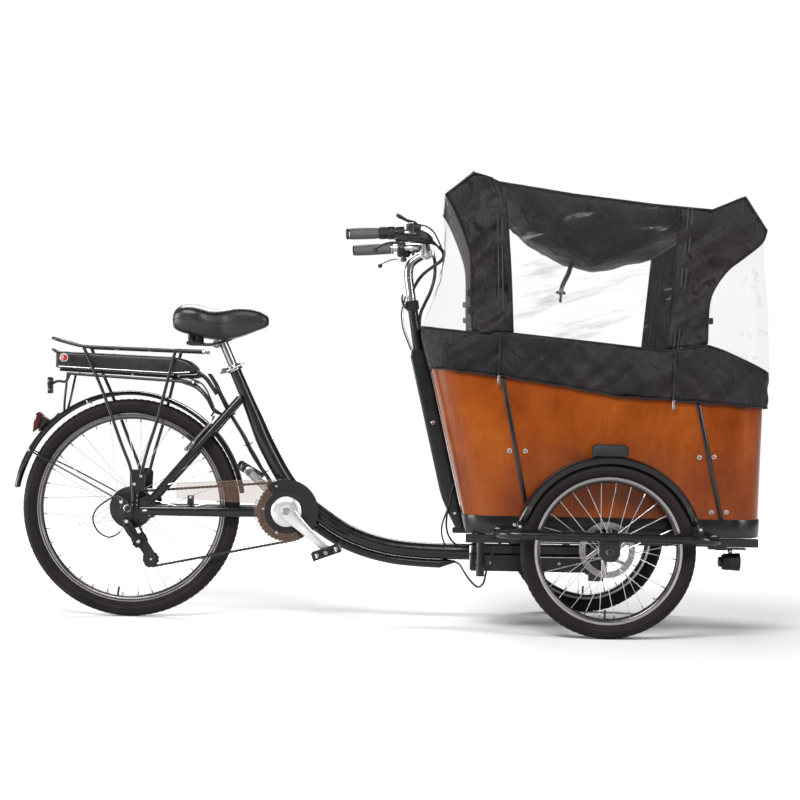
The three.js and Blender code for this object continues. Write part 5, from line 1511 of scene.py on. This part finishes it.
def ball(centre, radius, rows=10, segments=18):
    cx, cy, cz = centre
    rings = []
    for i in range(1, rows):
        a = math.pi * i / rows
        level, reach = cz + radius * math.cos(a), radius * math.sin(a)
        rings.append([(cx + reach * c, cy + reach * s, level) for c, s in circle(segments)])
    return skin(rings)


def make_thumb_shifter():
    piece = Piece(PLASTIC)
    piece.rod((838, -236, 1158.5), (838, -236, 1184), 15, 36, PLASTIC, edge=2.5)
    piece.rod((840, -236, 1176), (866, -236, 1172), 11, 28, PLASTIC, edge=3)
    piece.rod((838, -236, 1184), (838, -236, 1187), 9, 24, SILVER)
    piece.rod((838, -236, 1187), (838, -236, 1189.5), 4, 6, STEEL)
    blade = [(858, -235, 1178, 7), (846, -235, 1186, 8), (837, -237, 1189, 8), (824, -242, 1193, 6.5),
             (813, -247, 1198, 7.5), (803, -251, 1203, 9), (797, -255, 1206, 7)]
    piece.tube(curve(blade, 6), 5, 18, PLASTIC, flat=0.7)
    for k in range(5):
        x, z = 810 - 3 * k, 1204 + 1.6 * k
        piece.tube([(x, -257, z), (x, -246, z)], 1.1, 6, MATT_BLACK)
    piece.make("thumb_shifter_lever", "thumb_shifter", "black_plastic", "thumb_shifter")


LAMP_Y, LAMP_Z = -250, 216


def make_headlight():
    piece = Piece(PLASTIC)
    shell = [(14, 1745), (15, 1753), (22, 1755), (24, 1775), (26, 1800), (26, 1805), (23.5, 1806),
             (22, 1802), (2, 1799)]
    rings = [[(x, LAMP_Y + r * c, LAMP_Z + r * s) for r, x in shell] for c, s in circle(48)]
    piece.put(skin(rings, closed=True, wrap=False, caps=False), PLASTIC)
    lens = [[(x, LAMP_Y + r * c, LAMP_Z + r * s) for c, s in circle(40)]
            for r, x in ((22.5, 1801), (18, 1804), (10, 1805.6), (1, 1806))]
    piece.put(skin(lens), WHITE_LENS)
    piece.rod((1744, LAMP_Y, LAMP_Z), (1748, LAMP_Y, LAMP_Z), 14, 28, PLASTIC)
    for x in (1760, 1766, 1772):
        piece.rod((x, LAMP_Y, LAMP_Z), (x + 2.5, LAMP_Y, LAMP_Z), 25, 36, PLASTIC, edge=0.8)
    piece.box((1773, 1785), (-250, -246), (236, 251), 1.2, BLACK_PAINT)
    piece.bolt((1779, -250.5, 246), (0, -1, 0), 4, 2.5)
    piece.make("headlight_lamp", "headlight", "black_plastic", "headlight")


def crossing(piece, name):
    """A cable between two bodies, fixed in place and attached to neither."""
    made = piece.make(name, None, "black_plastic")
    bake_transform(made)


def make_control_cables():
    loop = Piece(CABLE)
    bundle = [(920, -160, 1123), (932, -130, 1112), (934, -100, 1100), (926, -76, 1088), (904, -44, 1074),
              (872, 16, 1052), (852, 30, 1024), (838, 34, 990), (832, 30, 950)]
    loop.tube(curve(bundle, 7), 5, 14)
    for x, z, y in ((882, 1143, -214), (880, 1136, -208)):
        loop.tube(curve([(x, y, z), (x + 16, y + 14, z - 4), (914, -172, 1126), (926, -146, 1118)], 7), 3, 12)
    loop.tube(curve([(852, -236, 1180), (880, -228, 1178), (904, -208, 1162), (920, -176, 1136),
                     (930, -140, 1116)], 7), 2.2, 10)
    loop.tube(curve([(842, -270, 1142), (866, -258, 1139), (894, -218, 1132), (922, -160, 1121),
                     (931, -132, 1111)], 7), 2.5, 10)
    crossing(loop, "right_cable_bundle")

    down = Piece(CABLE)
    down.tube(curve([(842, 270, 1142), (868, 262, 1150), (890, 220, 1152), (902, 130, 1136),
                     (905, 60, 1116), (910, 26, 1088), (909, 10, 1045), (898, 2, 1002), (880, 0, 962),
                     (868, -2, 930), (866, -2, 880), (872, 0, 826)], 7), 5, 14)
    crossing(down, "left_cable_bundle")

    wires = Piece(SILVER)
    path = curve([(826, -14, 985), (820, -18, 960), (815, -20, 934), (817, -20, 905), (822, -20, 882),
                  (834, -17, 850), (846, -14, 822)], 7)
    wires.tube([(x, y, z) for x, y, z in path], 2.0, 10, SILVER)
    wires.tube([(x - 4.2, y + 1.5, z) for x, y, z in path], 2.0, 10, CABLE)
    wires.make("column_twin_wires", "front_module", "silver_metal")

    foot = Piece(CABLE)
    foot.tube(curve([(978, -21, 420), (968, -24, 372), (958, -24, 318), (960, -22, 276), (976, -20, 246),
                     (1000, -18, 232), (1036, -18, 238), (1062, -24, 252)], 8), 3, 12)
    foot.tube(curve([(984, -16, 404), (960, -16, 340), (944, -14, 290), (948, -12, 250), (968, -8, 214),
                     (990, -4, 194)], 8), 2.6, 12)
    crossing(foot, "column_foot_cables")
    droop = Piece(CABLE)
    droop.tube(curve([(984, 0, 182), (1000, -2, 174), (1016, -20, 150), (1034, -60, 128), (1052, -120, 118),
                      (1066, -170, 132), (1072, -196, 158), (1078, -206, 190), (1100, -210, 240),
                      (1120, -210, 262)], 8), 3, 12)
    crossing(droop, "underframe_cable")


make_column()
make_bar()
make_grips()
make_controls()
for lever_side, lever_name in sides():
    make_brake_lever(lever_side, lever_name)
make_thumb_shifter()
make_headlight()
make_control_cables()


# ---------------------------------------------------------------- canopy
# Upright seam lines of one side, from the hem's top edge to the roof's edge, as (x, z).
SEAMS = {"rear_film": [(1018, 867), (1013, 950), (1010, 1078), (990, 1150), (957, 1227), (934, 1264)],
         "bow": [(1058, 866), (1056, 960), (1050, 1100), (1040, 1210), (1016, 1328)],
         "zip": [(1100, 866), (1098, 1000), (1094, 1120), (1088, 1250), (1062, 1316)],
         "window_rear": [(1136, 866), (1130, 1000), (1122, 1120), (1110, 1250), (1085, 1303)],
         "window_front": [(1575, 823), (1584, 930), (1596, 1060), (1606, 1176), (1610, 1237)],
         "front_zip": [(1601, 830), (1612, 930), (1627, 1080), (1637, 1180), (1640, 1235)],
         "strap": [(1632, 834), (1642, 930), (1662, 1050), (1684, 1150), (1704, 1230)],
         "pillar": [(1660, 836), (1668, 940), (1700, 1072), (1742, 1180), (1798, 1270)],
         "front_film": [(1693, 845), (1697, 950), (1712, 1002), (1750, 1056), (1792, 1090), (1847, 1136),
                        (1861, 1172)],
}
REAR_PANEL = (("rear_film", "bow", 8), ("bow", "zip", 8), ("zip", "window_rear", 6))
FRONT_PANEL = (("window_front", "front_zip", 4), ("front_zip", "strap", 5), ("strap", "pillar", 6),
               ("pillar", "front_film", 7))
REAR_FACE = [(878, 867), (880, 890), (893, 925), (908, 975), (928, 1050), (938, 1120), (941, 1190),
             (936, 1264)]
FRONT_FACE = [(1881, 763), (1884, 850), (1880, 930), (1874, 1010), (1862, 1080), (1852, 1136), (1861, 1172)]
HEM_TOP = [(878, 884), (930, 876), (1018, 867), (1136, 866), (1350, 846), (1575, 823), (1690, 842),
           (1740, 826), (1881, 763)]
HEM_FOOT = [(884, 763), (1101, 743), (1300, 712), (1454, 688), (1700, 674), (1866, 664)]
ROOF_EDGE = [(936, 1264), (1016, 1328), (1062, 1316), (1085, 1303), (1303, 1270), (1541, 1243),
             (1640, 1235), (1704, 1230), (1798, 1270), (1861, 1172)]
ROOF_MIDDLE = [(936, 1264), (1016, 1342), (1060, 1300), (1132, 1200), (1200, 1142), (1270, 1104),
               (1377, 1068), (1460, 1080), (1543, 1107), (1640, 1156), (1704, 1196), (1798, 1272),
               (1861, 1172)]
ROWS = 42


def line_at(line, x):
    return float(np.interp(x, [p[0] for p in line], [p[1] for p in line]))


def profile_at(line, z):
    return float(np.interp(z, [p[1] for p in line], [p[0] for p in line]))


def side_y(z):
    return 321 - 0.05 * max(0.0, z - 780)


def crumple(x, y, z, size):
    """Small folds in cloth, the same for the same place."""
    at = Vector((x, y, z))
    pulled = Vector((0.005 * x + 0.006 * z, 0.01 * y, 0.026 * z - 0.02 * x))
    return size * (noise.noise(at * 0.011) + 0.9 * noise.noise(pulled) + 0.35 * noise.noise(at * 0.045))


def seam_points(name, count=ROWS):
    return resample(curve(SEAMS[name], 6), count)


def panel_grid(parts, side, folds):
    """Side cloth between seams, as upright lines of points; its outer edges stay on their seams."""
    flat = []
    for first, last, columns in parts:
        a, b = seam_points(first), seam_points(last)
        start = 1 if flat else 0
        flat += [a * (1 - i / columns) + b * i / columns for i in range(start, columns + 1)]
    grid = []
    for i, line in enumerate(flat):
        share = i / (len(flat) - 1)
        column = []
        for k, (x, z) in enumerate(line):
            edge = min(1.0, 5 * min(share, 1 - share, 1 - k / (ROWS - 1)))
            out = crumple(x, 300 * side, z, folds) * edge
            column.append((x, side * (side_y(z) + out), z))
        grid.append(column)
    return grid


def film_grid(seam, face, side_count=6, corner_count=12, half_count=10):
    """Film that wraps round one end of the cover, between the seam on each side."""
    grid = []
    sign = 1 if face is FRONT_FACE else -1
    for k, (x, z) in enumerate(seam_points(seam)):
        end = profile_at(face, z)
        half = side_y(z)
        if sign > 0:
            end = max(end, x + 2)
        else:
            end = min(end, x - 2)
        corner = min(80.0, abs(end - x) * 0.85)
        row = []
        for i in range(side_count):
            row.append((x + (end - sign * corner - x) * i / side_count, -half))
        for i in range(corner_count + 1):
            a = math.radians(90 * i / corner_count)
            row.append((end - sign * corner * (1 - math.sin(a)), -half + corner * (1 - math.cos(a))))
        for i in range(1, half_count + 1):
            row.append((end, (-half + corner) * (1 - i / half_count)))
        row += [(px, -py) for px, py in row[-2::-1]]
        loose = math.sin(math.pi * k / (ROWS - 1))
        points = []
        for i, (px, py) in enumerate(row):
            share = i / (len(row) - 1)
            bulge = crumple(px, py, z, 9) * loose * min(1, 6 * min(share, 1 - share))
            drop = 0
            if k < 12:
                hem_z = line_at(HEM_TOP, px)
                drop = (seam_points(seam)[0][1] - hem_z) * (1 - k / 12)
            points.append((px + sign * bulge * 0.6, py, z - drop))
        grid.append(points)
    return [list(line) for line in zip(*grid)]


def cloth(name, grid, material, slot, thick=1.5, closed=False):
    piece = Piece(material)
    piece.put(skin(grid, closed=closed, wrap=False, caps=False), material)
    made = piece.make(name, "front_module", slot, sharp=60, thickness=thick)
    return made


def make_canopy_sides():
    for side, name in sides():
        cloth(f"canopy_rear_panel_{name}", panel_grid(REAR_PANEL, side, 13), FABRIC, "cover_fabric")
        cloth(f"canopy_front_panel_{name}", panel_grid(FRONT_PANEL, side, 13), FABRIC, "cover_fabric")
        window = panel_grid((("window_rear", "window_front", 30),), side, 8)
        cloth(f"canopy_window_{name}", window, FILM, "cover_fabric", thick=0.8)


def make_canopy_ends():
    cloth("canopy_rear_film", film_grid("rear_film", REAR_FACE), CREASED_FILM, "cover_fabric", thick=0.8)
    cloth("canopy_front_film", film_grid("front_film", FRONT_FACE), CREASED_FILM, "cover_fabric", thick=0.8)


def hem_ring():
    """Places round the hem, seen from above."""
    ring = rounded_rectangle(880, 1882, 322, 84, 12)
    ring.append(ring[0])
    return resample(ring, 241)[:-1]


def make_hem():
    columns = []
    for k, (x, y) in enumerate(hem_ring()):
        top, foot = line_at(HEM_TOP, x), line_at(HEM_FOOT, x)
        outward = unit(np.array([x - np.clip(x, 964, 1798), y - np.clip(y, -238, 238)]))
        column = []
        for i in range(13):
            share = i / 12
            z = foot + (top - foot) * share
            if share == 0:
                z += 1.2 * math.sin(k * 0.9) + crumple(x, y, 0, 2)
            lean = (rear_wall_x(z) - rear_wall_x(840)) * 0.96 if x < 964 else 0
            fold = crumple(x, y, z, 6) * math.sin(math.pi * share)
            swell = 3.5 * math.sin(math.pi * share) - 2.5 * (1 - share)
            column.append((x + outward[0] * (fold + swell) + lean * (1 - share * 0.2),
                           y + outward[1] * (fold + swell), z))
        columns.append(column)
    cloth("canopy_hem", columns, FABRIC, "cover_fabric", closed=True)
    edge = Piece(WEBBING)
    for row, radius in ((0, 2.6), (12, 1.8)):
        edge.tube([column[row] for column in columns], radius, 8, closed=True)
    edge.make("canopy_hem_binding", "front_module", "cover_fabric")


def make_roof():
    stations = sorted({float(x) for x in np.linspace(936, 1861, 62)} | {p[0] for p in ROOF_EDGE} | {1798.0})
    lines = []
    for x in stations:
        edge_z, middle_z = line_at(ROOF_EDGE, x), line_at(ROOF_MIDDLE, x)
        line = []
        for i in range(31):
            u = i / 15 - 1
            y = side_y(edge_z) * u
            z = edge_z + (middle_z - edge_z) * (1 - abs(u) ** 2.2)
            slack = min(1, 5 * (1 - abs(u))) * min(1, (x - 936) / 60, (1861 - x) / 60)
            line.append((x, y, z + crumple(x, y, z, 9) * slack))
        lines.append(line)
    cloth("canopy_roof", lines, ROOF_FABRIC, "cover_fabric")


def make_canopy_bindings():
    piece = Piece(WEBBING)
    for side in (-1, 1):
        for name in ("rear_film", "window_rear", "window_front", "front_film"):
            line = [(x, side * (side_y(z) + 1.4), z) for x, z in seam_points(name, 30)]
            piece.tube(line, 1.6, 8)
        for name in ("zip", "front_zip"):
            for shift in (-6, 6):
                line = [(x + shift, side * (side_y(z) + 1.6), z) for x, z in seam_points(name, 30)]
                piece.tube(line, 2.2, 8, PLASTIC)
        line = [(x, side * (side_y(z) + 0.5), z) for x, z in resample(curve(ROOF_EDGE, 1), 80)]
        piece.tube(line, 3.2, 8)
        for name in ("zip", "front_zip"):
            x, z = SEAMS[name][0]
            foot_z = line_at(HEM_FOOT, x)
            piece.tube([(x, side * 327, z), (x - 2, side * 328, (z + foot_z) / 2),
                        (x - 4, side * 326, foot_z)], 3.2, 8)
            piece.box((x - 7, x + 1), span(325, 329, side), (foot_z - 26, foot_z + 2), 1.2, STEEL)
        for x, z in ((1700, 910), (1010, 980), (1012, 930)):
            piece.box((x - 8, x + 8), span(side_y(z) + 1, side_y(z) + 6, side), (z - 9, z + 9), 2, PLASTIC)
    piece.make("canopy_bindings", "front_module", "cover_fabric")

    poles = Piece(BLACK_PAINT)
    for x, top in ((1017, 1322), (1797, 1262)):
        y = side_y(top) - 9
        foot_x = 1050 if x < 1400 else 1690
        hoop = [(foot_x, y + 12, 760), (foot_x, y + 6, 1000), (x, y, top - 30), (x, y - 30, top - 2),
                (x, 0, top), (x, -y + 30, top - 2), (x, -y, top - 30), (foot_x, -y - 6, 1000),
                (foot_x, -y - 12, 760)]
        poles.tube(bent(hoop, 60), 6, 14)
    poles.make("canopy_bow_poles", "front_module", "black_paint", "canopy")


def make_hanging_strap():
    piece = Piece(WEBBING)
    strap = curve([(1322, -40, 1092), (1312, -42, 1060), (1298, -44, 1030), (1290, -45, 1004)], 6)
    piece.tube(strap, 7, 10, WEBBING, flat=0.22, up=(0, 1, 0))
    piece.tube([(1276, -45, 1004), (1290, -45, 1000), (1304, -45, 1002)], 5, 12, PLASTIC)
    piece.tube([(1290, -45, 1000), (1289, -45, 972)], 4, 12, PLASTIC)
    piece.make("canopy_hanging_strap", "front_module", "cover_fabric")


make_canopy_sides()
make_canopy_ends()
make_hem()
make_roof()
make_canopy_bindings()
make_hanging_strap()

for kept, finish in (("front_subframe", BLACK_PAINT), ("bench", MATT_BLACK)):
    mesh = frame["nodes"][kept].data
    mesh.materials.clear()
    mesh.materials.append(finish)


# ---------------------------------------------------------------- stage
def make_stage():
    floor_mesh = bpy.data.meshes.new("floor")
    floor_mesh.from_pydata([(-30, -30, 0), (30, -30, 0), (30, 30, 0), (-30, 30, 0)], [], [(0, 1, 2, 3)])
    floor = bpy.data.objects.new("floor", floor_mesh)
    bpy.context.scene.collection.objects.link(floor)
    made, nodes, links, shader, where = new_material("pale_floor")
    dust = noise_node(nodes, links, where.outputs["Object"], 1.5, 4.0)
    links.new(blend_colors(nodes, links, dust, [(0.2, (0.62, 0.62, 0.62)), (0.8, (0.65, 0.65, 0.65))]),
              shader.inputs["Base Color"])
    shader.inputs["Roughness"].default_value = 0.9
    reach = nodes.new("ShaderNodeVectorMath")
    reach.operation = "LENGTH"
    links.new(where.outputs["Object"], reach.inputs[0])
    shader.inputs["Emission Color"].default_value = (1, 1, 1, 1)
    links.new(remap(nodes, links, reach.outputs["Value"], 0.0, 0.9, 1.3, 3.6),
              shader.inputs["Emission Strength"])
    floor_mesh.materials.append(made)

    world = bpy.data.worlds.new("studio")
    world.use_nodes = True
    backdrop = world.node_tree.nodes["Background"]
    backdrop.inputs["Color"].default_value = (1, 1, 1, 1)
    backdrop.inputs["Strength"].default_value = 1.0
    path = world.node_tree.nodes.new("ShaderNodeLightPath")
    seen = world.node_tree.nodes.new("ShaderNodeMapRange")
    seen.inputs["To Min"].default_value = 0.18
    seen.inputs["To Max"].default_value = 1.0
    world.node_tree.links.new(path.outputs["Is Camera Ray"], seen.inputs["Value"])
    world.node_tree.links.new(seen.outputs["Result"], backdrop.inputs["Strength"])
    bpy.context.scene.world = world

    def area(name, at, target, size, power):
        data = bpy.data.lights.new(name, "AREA")
        data.shape, data.size, data.size_y, data.energy = "RECTANGLE", size[0], size[1], power
        lamp = bpy.data.objects.new(name, data)
        lamp.location = place(at)
        lamp.rotation_euler = (place(target) - place(at)).to_track_quat("-Z", "Y").to_euler()
        bpy.context.scene.collection.objects.link(lamp)

    area("key_over_camera", (-300, -3200, 3400), (800, 0, 500), (2.4, 1.2), 250)
    area("fill_right", (3600, -2400, 1900), (1200, 0, 500), (1.2, 2.2), 90)
    area("side_strip", (-3000, -700, 900), (950, -300, 600), (2.4, 2.2), 160)
    area("back_top", (600, 2600, 3200), (900, 0, 600), (3.0, 1.4), 170)
    bpy.context.scene.view_settings.view_transform = "Standard"


make_stage()
